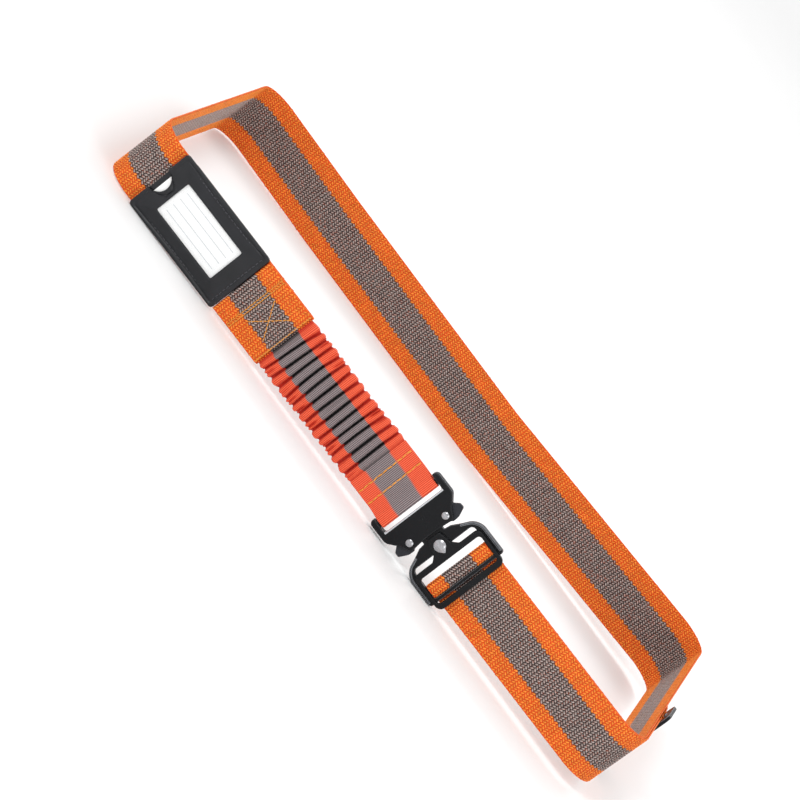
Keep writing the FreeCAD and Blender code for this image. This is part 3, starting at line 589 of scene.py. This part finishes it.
def make_black_metal():
    """Gloss black coated steel, lighter along its edges with wear and a painted highlight, and bare
    along the socket's slot.
    """
    shader = Shader("black_metal", Specular_IOR_Level=0.18)
    soft, edges = edge_wear_and_highlight(shader, 0.0009)
    patch = shader.noise(160.0, 4.0)
    rubbed_and_lit = shader.math("MULTIPLY", edges, shader.remap(patch, 0.3, 1.0))
    # Edge colour: wear in patches, and a painted highlight along the rounded edges.
    colour = shader.mix(rubbed_and_lit, srgb(14, 15, 18), srgb(158, 160, 166))
    place = shader.place()

    def within(axis, centre, reach):
        """1 where the place measured along an axis is within reach of centre, and 0 beyond."""
        measured = shader.node("VectorMath", {0: place, 1: tuple(axis / MM)},
                               operation="DOT_PRODUCT").outputs["Value"]
        away = shader.math("SUBTRACT", measured, float(ORIGIN @ axis) + centre)
        return shader.math("LESS_THAN", shader.math("ABSOLUTE", away), reach)

    bevel = shader.math("MULTIPLY", within(ALONG, SLOT_EDGE, SLOT_BEVEL),
                        within(ACROSS, 0.0, SLOT_HALF))
    shader.drive("Base Color", shader.mix(bevel, colour, srgb(200, 202, 206)))
    shader.drive("Metallic", bevel)
    shader.drive("Roughness", shader.remap(patch, 0.2, 0.42))
    shader.bump(shader.noise(1100.0, 3.0), 0.00003, 0.35, soft)
    return shader.material


def make_lever_black():
    """Matte black levers with a fine cast texture, lighter along their edges with wear and a
    painted highlight.
    """
    shader = Shader("lever_black", Specular_IOR_Level=0.25)
    grain = shader.noise(1600.0, 3.0)
    soft, edges = edge_wear_and_highlight(shader, 0.0005)
    colour = shader.mix(grain, srgb(14, 15, 18), srgb(56, 58, 64))
    # Lighter edges: wear, and a painted highlight.
    wear_and_highlight = shader.math("MULTIPLY", edges, 0.3)
    shader.drive("Base Color", shader.mix(wear_and_highlight, colour, srgb(110, 112, 118)))
    shader.drive("Roughness", shader.remap(grain, 0.5, 0.72))
    shader.bump(grain, 0.0001, 0.9, soft)
    return shader.material


def make_steel(name, light, dark, roughness):
    """Bare steel with a brushed, slightly uneven surface."""
    shader = Shader(name, Metallic=1.0)
    stretched = shader.node("Mapping", {"Vector": shader.place(), "Scale": (400, 400, 2600)})
    brushed = shader.noise(1.0, 3.0, stretched.outputs[0])
    shader.drive("Base Color", shader.mix(brushed, dark, light))
    shader.drive("Roughness", shader.remap(brushed, roughness - 0.08, roughness + 0.1))
    shader.bump(brushed, 0.00004, 0.5)
    return shader.material


def make_leather():
    """Black leather-like label with fine pebbled grain and soft wear."""
    shader = Shader("label_leather", Specular_IOR_Level=0.36)
    cells = shader.node("TexVoronoi", {"Vector": shader.place(), "Scale": 1300.0})
    creases = shader.noise(70.0, 5.0)
    tone = shader.mix(creases, srgb(12, 13, 16), srgb(34, 35, 40))
    shader.drive("Base Color", tone)
    shader.drive("Roughness", shader.remap(creases, 0.22, 0.42))
    height = shader.math("MULTIPLY_ADD", cells.outputs["Distance"], 0.8, creases)
    shader.bump(height, 0.00012, 0.7)
    return shader.material


def make_film():
    """Clear vinyl window, thin and glossy."""
    shader = speckled("clear_film", (120.0,), (236, 240, 244), (255, 255, 255),
                      (40.0, 2.0, 0.0003, 0.3), Alpha=0.12, Specular_IOR_Level=0.6)
    shader.drive("Roughness", shader.remap(shader.noise(60.0), 0.05, 0.16))
    return shader.material


def make_core():
    """Knitted elastic inside the sleeve."""
    shader = Shader("elastic_core", Roughness=0.75)
    along, _ = cloth_coordinates(shader)
    knit = shader.math("SINE", shader.math("MULTIPLY", along, 2 * math.pi / KNIT))
    shader.drive("Base Color", shader.mix(shader.remap(knit, 0.2, 0.8), srgb(14, 12, 13),
                                          srgb(40, 36, 37)))
    shader.bump(knit, 0.0002, 0.6)
    return shader.material


webbing = make_webbing()
elastic = make_elastic()
golden_thread = make_thread("golden_thread", (196, 104, 12), (250, 178, 52), Roughness=0.45,
                            Sheen_Weight=0.2)
black_thread = make_thread("black_thread", (40, 40, 44), (84, 84, 90), Roughness=0.5)
black_metal = make_black_metal()
lever_black = make_lever_black()
rivet_steel = make_steel("rivet_steel", srgb(200, 200, 203), srgb(132, 132, 137), 0.26)
spring_steel = make_steel("spring_steel", srgb(190, 190, 194), srgb(130, 130, 134), 0.35)
leather = make_leather()
card_white = speckled("card_white", (500.0, 4.0), (238, 238, 236), (252, 252, 252),
                      (500.0, 4.0, 0.00003, 0.4), Roughness=0.8).material
card_rule = speckled("card_rule", (800.0,), (168, 172, 178), (196, 200, 204),
                     Roughness=0.8).material
clear_film = make_film()
core_material = make_core()


# ---- the loop of webbing


def loop_length(x):
    """Length round the case at x on the front run, from the middle of the front run."""
    return x - CASE_X if x >= CASE_X else LOOP.length + x - CASE_X


UNDER_BUCKLE = 60.0
FOLD_START = -185.6
loop = Ribbon(LOOP, on_loop)
front_left_end = loop_length(ORIGIN[0] + FOLD_START * ALONG[0] - CLEAR / 2)
front_right_start = loop_length(ORIGIN[0] + UNDER_BUCKLE * ALONG[0])
# The strap is cut at the back where a column of the weave ends.
back_corner_right, back_join, back_corner_left = (
    round(s * LOOP_SCALE / COLUMN) * COLUMN for s in (RIGHT_END, BACK_MIDDLE, LEFT_START))
back_y = (BACK_FACE + THICK / 2) * MM
woven("woven_left", loop, back_corner_left, front_left_end, "label_side",
      ["webbing_front_left", "webbing_turn_front_left", "webbing_side_left"])
woven("woven_back_left", loop, back_join, back_corner_left,
      ("label_side", "buckle_socket", ((CASE_X - STRAIGHT_HALF) * MM, back_y, 0),
       (CASE_X * MM, back_y, 0)),
      ["webbing_back_left", "webbing_turn_back_left"])
woven("woven_right", loop, front_right_start, back_corner_right, "buckle_tongue",
      ["webbing_front_right", "webbing_turn_front_right", "webbing_side_right"])
woven("woven_back_right", loop, back_corner_right, back_join,
      ("buckle_socket", "buckle_tongue", (CASE_X * MM, back_y, 0),
       ((CASE_X + STRAIGHT_HALF) * MM, back_y, 0)),
      ["webbing_back_right", "webbing_turn_back_right"])

# The return layer lies on the first one, from the buckle's bar to the adjuster.
RETURN = Route(loop_corners(SECOND_LAYER + THICK / 2))
returned = Ribbon(RETURN, on_loop)
HUMP_REACH = 20.5
side_start, hump_start = CASE_Y - SIDE_HALF, GLIDE_Y - HUMP_REACH
return_end = (STRAIGHT_HALF + (CORNER + SECOND_LAYER + THICK / 2) * math.pi / 2
              + hump_start - side_start)
adjuster_x = (RIGHT_FACE + SECOND_LAYER) * MM
woven("woven_return", returned, front_right_start, return_end,
      ("buckle_tongue", "adjuster", (adjuster_x, (side_start + 4) * MM, 0),
       (adjuster_x, (hump_start - 2) * MM, 0)),
      ["return_layer_front", "return_layer_turn", "return_layer_side"])

# ---- buckle's bar turn

BAR = (45.4, 52.4)
BAR_TOP = 5.0
TURN = 1.5
half = THICK / 2
before, above = BAR[0] - CLEAR - half, BAR_TOP + CLEAR + half
turn_route = Route([(UNDER_BUCKLE, half), (before, half, 1.3), (before, above, TURN),
                    (BAR[1] + CLEAR + half, above, TURN),
                    (BAR[1] + 0.6 + half, SECOND_LAYER + half, TURN),
                    (UNDER_BUCKLE, SECOND_LAYER + half)])
bar_turn = Ribbon(turn_route, on_front())
woven("woven_bar_turn", bar_turn, 0.0, turn_route.length, "buckle_tongue",
      ["webbing_bar_turn"])

# ---- adjuster's webbing

FOLD_WALL, HUMP_THICK = 0.9, 1.2
CENTRE_BAR = (3.5, 2.8, 4.2)  # half width, and lower and upper faces
fold_half = FOLD_WALL / 2 + CLEAR / 2
beside = CENTRE_BAR[0] + fold_half
below, above = CENTRE_BAR[1] - fold_half, CENTRE_BAR[2] + fold_half
fold_route = Route([(0.5, below), (beside, below, FOLD_WALL), (beside, above, FOLD_WALL),
                    (-beside, above, FOLD_WALL), (-beside, below, FOLD_WALL), (-0.5, below)])
sewn_fold = Ribbon(fold_route, on_right, thick=FOLD_WALL)
woven("woven_fold", sewn_fold, 0.0, fold_route.length, "adjuster",
      ["sewn_fold"])
# The webbing climbs over the centre bar between these places before and after it.
CLIMB_FOOT, CLIMB_TOP = 10.6, 5.4
foot = SECOND_LAYER + CLEAR + HUMP_THICK / 2
crest = CENTRE_BAR[2] + CLEAR + FOLD_WALL + HUMP_THICK / 2
hump_route = Route([(-HUMP_REACH, foot), (-CLIMB_FOOT, foot, 4.0), (-CLIMB_TOP, crest, 3.0),
                    (CLIMB_TOP, crest, 3.0), (CLIMB_FOOT, foot, 4.0),
                    (HUMP_REACH - 4, foot, 3.0), (HUMP_REACH + 2, foot - 1.0)], side=-1.0)
hump = Ribbon(hump_route, on_right, thick=HUMP_THICK)
woven("woven_hump", hump, 0.0, hump_route.length, "adjuster",
      ["threaded_webbing"])

# ---- stitching


STITCH_STATIONS, STITCH_SIDES = 7, 6
STITCH_LEAN = (0.12, 0.04)  # to either side in turn, and its spread
FRONT_OUT, BACK_OUT = (0, 0, 1), (0, 0, -1)


def thread_rows(name, rows, body, material, length, pitch, radius, over=0.55):
    """Rows of stitches; a row is its start, its end and its outward direction, in u, v, w."""
    points, triangles = [], []
    share = np.linspace(-1, 1, STITCH_STATIONS)[:, None]
    angle = 2 * math.pi * np.arange(STITCH_SIDES)[:, None] / STITCH_SIDES
    lift = over * radius * (1 - 2.2 * np.abs(share) ** 3)
    spread = radius * (0.25 + 0.75 * np.sqrt(1 - np.abs(share) ** 3))[:, None]
    fan = np.array([(0, b + 1, b) for b in range(1, STITCH_SIDES - 1)])
    faces = np.concatenate((grid_triangles(STITCH_STATIONS, STITCH_SIDES, closed=True),
                            fan[:, ::-1], fan + (STITCH_STATIONS - 1) * STITCH_SIDES))
    rng = np.random.default_rng(SEED)
    for start, end, out in rows:
        start, end, out = (np.array(p, float) for p in (start, end, out))
        span = np.linalg.norm(end - start)
        along = (end - start) / span
        aside = np.cross(out, along)
        count = int(span / pitch)
        for k in range(count):
            centre = start + along * (k + 0.5) * span / count
            lean = STITCH_LEAN[0] * (1 if k % 2 else -1) + rng.normal(0, STITCH_LEAN[1])
            heading = along + aside * lean
            wide = np.cross(out, heading)
            middle = centre + heading * share * length / 2 + out * lift
            ring = middle[:, None] + spread * (wide * np.cos(angle) + out * np.sin(angle))
            triangles.append(faces + len(points) * STITCH_STATIONS * STITCH_SIDES)
            points.append(ring.reshape(-1, 3))
    world = from_strap(np.concatenate(points))
    item = add_mesh(name, world, np.concatenate(triangles), material)
    return shown_as(item, body)


# ---- patch beside the label

FOLD_END = -138.0
FOLD_THICK = 3.4
PATCH_ROWS, PATCH_CROSS = (14.6, 16.6, 44.9), (21.5, 38.0)  # stitching, from the patch's start
BEND = 0.7
layer = FOLD_THICK / 2 - CLEAR / 2
top, bottom = FOLD_THICK - layer / 2, layer / 2
patch_route = Route([(FOLD_START, top), (FOLD_END - layer, top, BEND),
                     (FOLD_END - layer / 2, FOLD_THICK / 2, BEND),
                     (FOLD_END - layer, bottom, BEND), (FOLD_START, bottom)], side=-1.0)
patch = Ribbon(patch_route, on_front(), thick=layer)
woven("woven_patch", patch, 0.0, patch_route.length, "label_side",
      ["webbing_fold"])
cross_half = MIDDLE_SHARE * WIDTH / 2
edge = WIDTH / 2 - 0.8
patch_rows = []
for out, w in ((FRONT_OUT, FOLD_THICK + CLEAR / 2), (BACK_OUT, -CLEAR / 2)):
    for u in PATCH_ROWS:
        patch_rows.append(((FOLD_START + u, -edge, w), (FOLD_START + u, edge, w), out))
    for side in (1, -1):
        patch_rows.append(((FOLD_START + PATCH_CROSS[0], -side * cross_half, w),
                           (FOLD_START + PATCH_CROSS[1], side * cross_half, w), out))
thread_rows("patch_stitches", patch_rows, "label_side", golden_thread,
            length=2.6, pitch=2.5, radius=0.34)

# ---- sewn end of the elastic

ELASTIC_WIDTH = 47.0
LAYER = 1.15
SEWN_FACES = (0.2, 2.8)  # back and front of the two layers sewn together
SEWN_ROWS = (-31.8, -21.8)
WEB_BAR_END, WEB_BAR_FACES = -4.2, (2.8, 5.2)
mid_layer = LAYER / 2
back, front = SEWN_FACES[0] + mid_layer, SEWN_FACES[1] - mid_layer
under, over = WEB_BAR_FACES[0] - CLEAR - mid_layer, WEB_BAR_FACES[1] + CLEAR + mid_layer
beyond = WEB_BAR_END + CLEAR + mid_layer
end_route = Route([
    (ELASTIC[1], front), (-18.5, front, 9.0), (-9.6, over, 5.0), (beyond, over, 1.3),
    (beyond, under, 1.3), (-9.6, under, 8.0), (-19.0, back, 8.0), (ELASTIC[1], back)], side=-1.0)
RIB_HEIGHT = 0.09


def rib_relief(s, t):
    """Cross ribs of the elastic cloth, each a little uneven along its length."""
    wobble = 0.14 * np.sin(t * 1.7 + np.floor(s / RIB) * 2.3)
    return RIB_HEIGHT / 2 * (1 + np.sin(2 * math.pi * s / RIB + wobble))


# depth 1 keeps painted groove shade off the sewn end; shade 1 gives it the full painted light on
# its ribs.
sewn_end = front_strip("sewn_end", end_route, ELASTIC_WIDTH, LAYER, RIB / 5, elastic,
                       across=40, relief=rib_relief, shade=1.0, depth=1.0)
shown_as(sewn_end, "buckle_socket", ["sewn_end_loop"])
edge = ELASTIC_WIDTH / 2 - 0.6
askew = 0.4
end_rows = []
for out, w in ((FRONT_OUT, SEWN_FACES[1] + CLEAR / 2), (BACK_OUT, SEWN_FACES[0] - CLEAR / 2)):
    for u in SEWN_ROWS:
        end_rows.append(((u - askew, edge, w), (u + askew, -edge, w), out))
end_stitches = thread_rows("end_stitches", end_rows, "buckle_socket",
                           golden_thread, length=4.4, pitch=3.9, radius=0.5)

# ---- gathered sleeve

FOLDS = 14
FOLD_STEPS = 40
PITCH = (ELASTIC[1] - ELASTIC[0]) / FOLDS
TUCK = 1.2  # how far the ends reach under their neighbours
GROOVE_HEIGHT, RIDGE_HEIGHT, TUCKED_HEIGHT = 2.0, 6.1, 2.4
SLEEVE_HALF, SLEEVE_ACROSS = 23.2, 84
RIM = 1.5  # height of the sleeve's side edges
SLEEVE_MIDDLE_SHARE = 0.49


def smooth(x):
    """0 up to 0, 1 from 1, and an even curve between."""
    x = np.clip(x, 0, 1)
    return x * x * (3 - 2 * x)


def gathered_sleeve():
    """The sleeve's folds: broad creased ridges, narrow sunken grooves, scalloped edges, and where
    painted shade falls in its grooves and creases.
    """
    rng = np.random.default_rng(SEED)
    turns = np.linspace(0, FOLDS, FOLDS * FOLD_STEPS + 1)
    turn, q = np.meshgrid(turns, crowded(SLEEVE_ACROSS), indexing="ij")
    angle = (2 * turn - 1) * math.pi

    def uneven(spread):
        """A smooth wander along the sleeve, drawn once a fold."""
        return np.interp(turn, range(FOLDS + 1), rng.normal(0, spread, FOLDS + 1))

    def by_side(left, right):
        return np.where(q < 0, left, right)

    def round_section(front, back):
        """Columns of the front, and then those of the back the other way."""
        return np.concatenate((front, back[:, ::-1][:, 1:-1]), axis=1)

    lean = uneven(0.45) + np.interp(turn, (0, 1, 2, 3, 4), (1.1, 1.5, 1.2, 0.6, 0.0))
    bow = uneven(0.5)
    curl = by_side(uneven(0.6), uneven(0.6)) * smooth((np.abs(q) - 0.35) / 0.6)
    tall = 1 + uneven(0.06)
    reach = by_side(uneven(0.3), uneven(0.3))

    ridge = np.minimum(turn.astype(int), FOLDS - 1)
    local = turn - ridge - 0.5

    def drawn():
        """A crease's strength and place on each ridge, for the two halves of the width."""
        return rng.uniform(0, 1, (2, FOLDS))[:, ridge], rng.uniform(-0.2, 0.2, (2, FOLDS))[:, ridge]

    def crease(depth, wide, strength, place, mask):
        return depth * strength * mask * np.exp(-((local - place) / wide) ** 2)

    strengths, places = drawn()
    edge_creases = crease(2.3, 0.095, by_side(*strengths), by_side(*places),
                          smooth((np.abs(q) - 0.42) / 0.4))
    strengths, places = drawn()
    strength = strengths[0]
    mask = smooth((0.75 - np.abs(q)) / 0.3) * smooth(np.abs(q + 2 * (strength - 0.5)))
    creased = edge_creases + crease(1.1, 0.055, strength, places[0], mask)

    near_end = np.minimum(turn, FOLDS - turn)
    end = 0.3 + 0.7 * smooth(near_end / 1.1)
    end[[0, -1]] = 0.0
    rise = smooth(near_end / 0.5)
    room = np.clip(near_end, 0, 1)
    pinch = 1 - 0.4 * np.abs(q) ** 6
    wave = 1 - 2 * ((1 - np.cos(angle)) / 2) ** 1.8
    creased = creased * end * rise
    bulge = (0.6 * np.sin(angle) + 0.2 * np.sin(2 * angle)) * end * pinch
    tuck = TUCK * np.clip(1 - 4 * room, 0, 1) * np.sign(turn - FOLDS / 2)
    u = ELASTIC[0] + PITCH * turn + bulge + (lean * q + bow * (1 - q * q) + curl) * room + tuck
    middle, swing = (GROOVE_HEIGHT + RIDGE_HEIGHT) / 2, (RIDGE_HEIGHT - GROOVE_HEIGHT) / 2
    swell = np.minimum(swing * wave * end * pinch * tall, swing * 1.05) - creased
    height = TUCKED_HEIGHT + (middle - TUCKED_HEIGHT + swell) * rise
    half_width = SLEEVE_HALF + (0.7 * wave + reach * room) * end - 0.45 * creased
    dome = (1 - np.abs(q) ** 9) ** (1 / 9)
    centre = SLEEVE_ACROSS // 2
    arc = np.cumsum(np.hypot(np.diff(u[:, centre]), np.diff(height[:, centre])))
    arc = np.concatenate(([0], arc))
    ribs = np.sin(2 * math.pi * arc / RIB)[:, None] * 0.06
    top = RIM + (height - RIM) * dome + ribs * end
    under = RIM - (RIM - 0.5 + 0.4 * wave * end) * dome
    v = q * half_width
    ring = round_section(np.stack((u, v, top), -1), np.stack((u, v, under), -1))
    rows, count = ring.shape[:2]
    world = from_strap(ring.reshape(-1, 3))
    triangles = np.concatenate((grid_triangles(rows, count, closed=True)[:, ::-1],
                                cap_triangles(count, rows)))
    q_ring = round_section(q, q).ravel()
    # Painted shade: the depth attribute is low in the grooves and creases, where the shade falls,
    # and high on the ridges.
    groove_shade = 0.5 + 0.5 * wave * (0.4 + 0.6 * end) - 0.36 * creased
    values = {
        "band": (np.abs(q_ring) < SLEEVE_MIDDLE_SHARE).astype(float),
        "depth": round_section(groove_shade, groove_shade).ravel(),
        "shade": np.ones(len(world)),
    }
    uv = np.column_stack((np.repeat(arc, count), (q_ring + 1) * ELASTIC_WIDTH / 2))
    return world, triangles, values, uv, arc[-1]


world, triangles, values, uv, cloth_length = gathered_sleeve()
sleeve = add_mesh("gathered_cloth", world, triangles, elastic, values, uv)
stretch = ("label_side", "buckle_socket", at(ELASTIC[0], 0, 0), at(ELASTIC[1], 0, 0))
shown_as(sleeve, stretch, ["elastic_sleeve"])
CORE_WIDTH, CORE_THICK, CORE_HEIGHT = 38.0, 0.4, 1.25
core_route = Route([(ELASTIC[0] + 0.3, CORE_HEIGHT), (ELASTIC[1] - 0.3, CORE_HEIGHT)], side=-1.0)
elastic_core = front_strip("knitted_core", core_route, CORE_WIDTH, CORE_THICK, 1.0,
                           core_material, across=16)
shown_as(elastic_core, stretch, ["elastic_band"])

# ---- label

LABEL = (-273.9, -185.9, 26.2)  # start, end and half width
LABEL_MIDDLE = (LABEL[0] + LABEL[1]) / 2
LABEL_BACK = THICK + CLEAR
BACK_INSET, BACK_THICK = 0.8, 1.0
WINDOW = (57.0, 27.6)
NOTCH = 9.0
HEM, HEM_FLOOR = 3.0, 1.25  # width of the sewn edge, and height of the pocket's roof beside it
# The front's relief as (inset, height); a negative inset is measured back from the window.
FRONT_PROFILE = [(0.0, 0.9), (0.08, 1.6), (0.4, 2.05), (1.0, 2.35), (1.8, 2.45), (2.5, 2.3),
                 (3.1, 1.85), (3.7, 1.6), (4.2, 1.6), (4.8, 1.85), (5.4, 2.05), (6.4, 2.15),
                 (-3.0, 2.15), (-2.3, 2.35), (-1.5, 2.45), (-0.8, 2.35), (-0.3, 2.05),
                 (-0.1, 1.8), (-1e-6, 1.4)]


SIDE_SAMPLES = 90


def label_outline(low, high, half, radius, notch=0.0):
    """Points round the label from its lower left corner, equally many on its four sides."""
    share = (np.arange(SIDE_SAMPLES)[:, None] + 0.5) / SIDE_SAMPLES
    corners = np.array([(low, -half), (high, -half), (high, half), (low, half)])
    sides = [a + (b - a) * share for a, b in zip(corners, np.roll(corners, -1, axis=0))]
    left = sides[-1]
    if notch:
        inside = np.abs(left[:, 1]) < notch
        left[inside, 0] = low + np.sqrt(notch**2 - left[inside, 1] ** 2)
    outline = np.concatenate(sides)
    for x, y in corners:
        centre = np.array((x + radius * (1 if x == low else -1),
                           y + radius * (1 if y < 0 else -1)))
        past = ((outline - centre) * np.sign((x, y) - centre) > 0).all(axis=1)
        reach = outline[past] - centre
        outline[past] = centre + reach / np.linalg.norm(reach, axis=1)[:, None] * radius
    return outline


def label_shell(name, outer, window, base):
    """The front panel, lofted by its profile from the outer outline to the window."""
    direction = window - outer
    room = np.linalg.norm(direction, axis=1)
    direction = direction / room[:, None]
    rings = []
    for inset, height in FRONT_PROFILE:
        distance = np.where(inset < 0, room + inset + 1e-9, inset)
        flat = outer + direction * np.minimum(distance, room)[:, None]
        rings.append(np.column_stack((flat, np.full(len(flat), base + height))))
    inner_edge = rings[-1][:, :2]
    hem = outer + direction * HEM
    roof = np.full(len(outer), base + HEM_FLOOR)
    open_end = outer[:, 0] < LABEL[0] + NOTCH + 0.5
    walls = base + np.where(open_end, HEM_FLOOR, 0.0)
    rings += [np.column_stack(ring) for ring in ((inner_edge, roof), (hem, roof), (hem, walls),
                                                 (outer, walls))]
    world = from_strap(np.concatenate(rings))
    count, rows = len(outer), len(rings)
    wrapped = np.concatenate((np.arange(rows * count), np.arange(count)))
    triangles = wrapped[grid_triangles(rows + 1, count, closed=True)]
    return add_mesh(name, world, triangles, leather)


outer = label_outline(*LABEL, radius=2.5, notch=NOTCH)
window = label_outline(LABEL_MIDDLE - WINDOW[0] / 2, LABEL_MIDDLE + WINDOW[0] / 2,
                       WINDOW[1] / 2, radius=1.0)
label_front = label_shell("leather_front", outer, window, LABEL_BACK + BACK_THICK)
shown_as(label_front, "label_side", ["label_front"])

back_width = 2 * (LABEL[2] - BACK_INSET)
back_middle = LABEL_BACK + BACK_THICK / 2
back_route = Route([(LABEL[0] + BACK_INSET, back_middle), (LABEL[1] - BACK_INSET, back_middle)])
label_back = front_strip("leather_back", back_route, back_width, BACK_THICK, 1.0, leather)
shown_as(label_back, "label_side", ["label_back_panel"])


# Black stitches in the groove inside the label's edge, open at the thumb notch.
inset, groove, open_length = 4.0, 1.65, 6.5
w = LABEL_BACK + BACK_THICK + groove
left, right, reach = LABEL[0] + inset + open_length, LABEL[1] - inset, LABEL[2] - inset
seam = [(left, reach, w), (right, reach, w), (right, -reach, w), (left, -reach, w)]
label_rows = [(*ends, FRONT_OUT) for ends in zip(seam, seam[1:])]
stitches = thread_rows("label_stitches", label_rows, "label_side",
                       black_thread, length=2.5, pitch=3.0, radius=0.3, over=0.4)


RULES = (-9.0, -3.0, 3.0, 9.0)
RULE_HALF = (24.5, 0.22)


def card_rules():
    """Four printed writing lines on the card, as thin raised ink."""
    card_face = FRONT_FACE - node_box("id_card")[0][1]
    points, triangles = [], []
    for k, v in enumerate(RULES):
        for w in (card_face - 0.02, card_face + 0.03):
            for a, b in ((-1, -1), (1, -1), (1, 1), (-1, 1)):
                points.append((LABEL_MIDDLE + a * RULE_HALF[0], v + b * RULE_HALF[1], w))
        triangles += [grid_triangles(2, 4, closed=True) + 8 * k, cap_triangles(4, 2) + 8 * k]
    triangles = np.concatenate(triangles)
    world = from_strap(np.array(points))
    item = add_mesh("card_rules", world, triangles, card_rule, caps=len(triangles))
    return shown_as(item, "card")


card_rules()

# ---- lever springs


COIL, WIRE, COIL_TURNS = 0.85, 0.22, 3.25
COIL_PLACE = (6.0, 4.0)  # u and w of the coils' axis
COIL_ENDS = (15.85 + WIRE, 20.75 - WIRE)  # the lever's back and the socket's side wall, in v


def coil_spring(name, node, lever, side):
    """A coil between the socket's side wall and a lever's back."""
    (along, level), (inner, outer) = COIL_PLACE, COIL_ENDS
    samples, sides = 80, 8
    share = np.linspace(0, 1, samples)
    turn = 2 * math.pi * COIL_TURNS * share
    v = side * (outer + (inner - outer) * share)
    centre = np.column_stack((along + COIL * np.cos(turn), v, level + COIL * np.sin(turn)))
    radial = np.column_stack((np.cos(turn), np.zeros(samples), np.sin(turn)))
    angle = 2 * math.pi * np.arange(sides)[:, None] / sides
    sideways = np.array((0, 1.0, 0))
    ring = centre[:, None] + WIRE * (radial[:, None] * np.cos(angle) + sideways * np.sin(angle))
    world = from_strap(ring.reshape(-1, 3))
    fan = np.array([(0, k, k + 1) for k in range(1, sides - 1)])
    ends = np.concatenate((fan[:, ::-side], fan[:, ::side] + (samples - 1) * sides))
    triangles = grid_triangles(samples, sides, closed=True)[:, ::side]
    item = add_mesh(name, world, np.concatenate((triangles, ends)), spring_steel, caps=len(ends))
    shown_as(item, ("buckle_socket", lever, at(along, side * outer, level),
                    at(along, side * inner, level)), [node])


coil_spring("spring_upper", "lever_spring_upper", "lever_upper", 1)
coil_spring("spring_lower", "lever_spring_lower", "lever_lower", -1)

# ---- finishes of CAD parts

FINISHES = {
    black_metal: ["socket_top_plate", "socket_back_plate", "tongue_guide", "tongue_plate",
                  "top_frame", "cross_bar", "socket_web_bar", "triglide_frame"],
    lever_black: ["latch_lever_upper", "latch_lever_lower"],
    rivet_steel: ["lever_rivets", "dome_rivet"],
    clear_film: ["label_window_film"],
    card_white: ["id_card"],
}
for finish, names in FINISHES.items():
    for name in names:
        slots = NODES[name].data.materials
        slots.clear()
        slots.append(finish)

# ---- floor, light and camera


def make_floor():
    """Plain pale floor, large enough that no edge shows."""
    shader = speckled("floor", (3.0,), (246, 246, 246), (250, 250, 250), Roughness=0.9,
                      Specular_IOR_Level=0.1)
    reach, rise, bend, level = 4000.0, 3000.0, 900.0, -0.05
    route = Route([(-reach, level), (reach, level, bend), (reach, rise)])
    s = np.linspace(0, route.length, 80)
    y, z, _, _ = route.locate(s)
    points = [(x, a, b) for a, b in zip(y, z) for x in (-reach, reach)]
    item = add_mesh("floor", np.array(points), grid_triangles(len(s), 2), shader.material)


LIT = Vector((0, 0, 0.03))


def make_light(name, place, size, power):
    """A round soft light that faces the strap."""
    data = bpy.data.lights.new(name, "AREA")
    data.shape, data.size, data.energy = "DISK", size, power
    light = in_scene(name, data)
    light.location = place
    light.rotation_euler = (LIT - Vector(place)).to_track_quat("-Z", "Y").to_euler()


ELEVATION, ROLL = math.radians(15), math.radians(53.3)
CAMERA_TARGET, CAMERA_DISTANCE = Vector((0.0, 0.0, 0.032)), 2.9
CAMERA_SHIFT = (-0.016, 0.014)  # to the picture's right and up


def make_camera():
    """Nearly square on to the front run, rolled so that it runs down to the right."""
    back = Vector((0, -math.cos(ELEVATION), math.sin(ELEVATION)))
    level = Vector((1, 0, 0))
    up = back.cross(level)
    right = level * math.cos(ROLL) + up * math.sin(ROLL)
    rise = -level * math.sin(ROLL) + up * math.cos(ROLL)
    target = CAMERA_TARGET + right * CAMERA_SHIFT[0] + rise * CAMERA_SHIFT[1]
    data = bpy.data.cameras.new("camera")
    data.lens = 190
    data.clip_end = 50
    camera = in_scene("camera", data)
    turned = Matrix((right, rise, back)).transposed().to_4x4()
    camera.matrix_world = Matrix.Translation(target + back * CAMERA_DISTANCE) @ turned
    bpy.context.scene.camera = camera


make_floor()
make_camera()
studio = bpy.data.worlds.new("studio")
bpy.context.scene.world = studio
studio.use_nodes = True
background = studio.node_tree.nodes["Background"]
background.inputs["Color"].default_value = (1, 1, 1, 1)
background.inputs["Strength"].default_value = 0.98
make_light("key", (-0.9, -1.6, 1.7), size=0.7, power=12)
make_light("fill", (1.6, -1.4, 0.9), size=0.9, power=6)
make_light("rim", (0.4, 1.5, 1.6), size=0.8, power=9)
bpy.context.scene.view_settings.view_transform = "Standard"
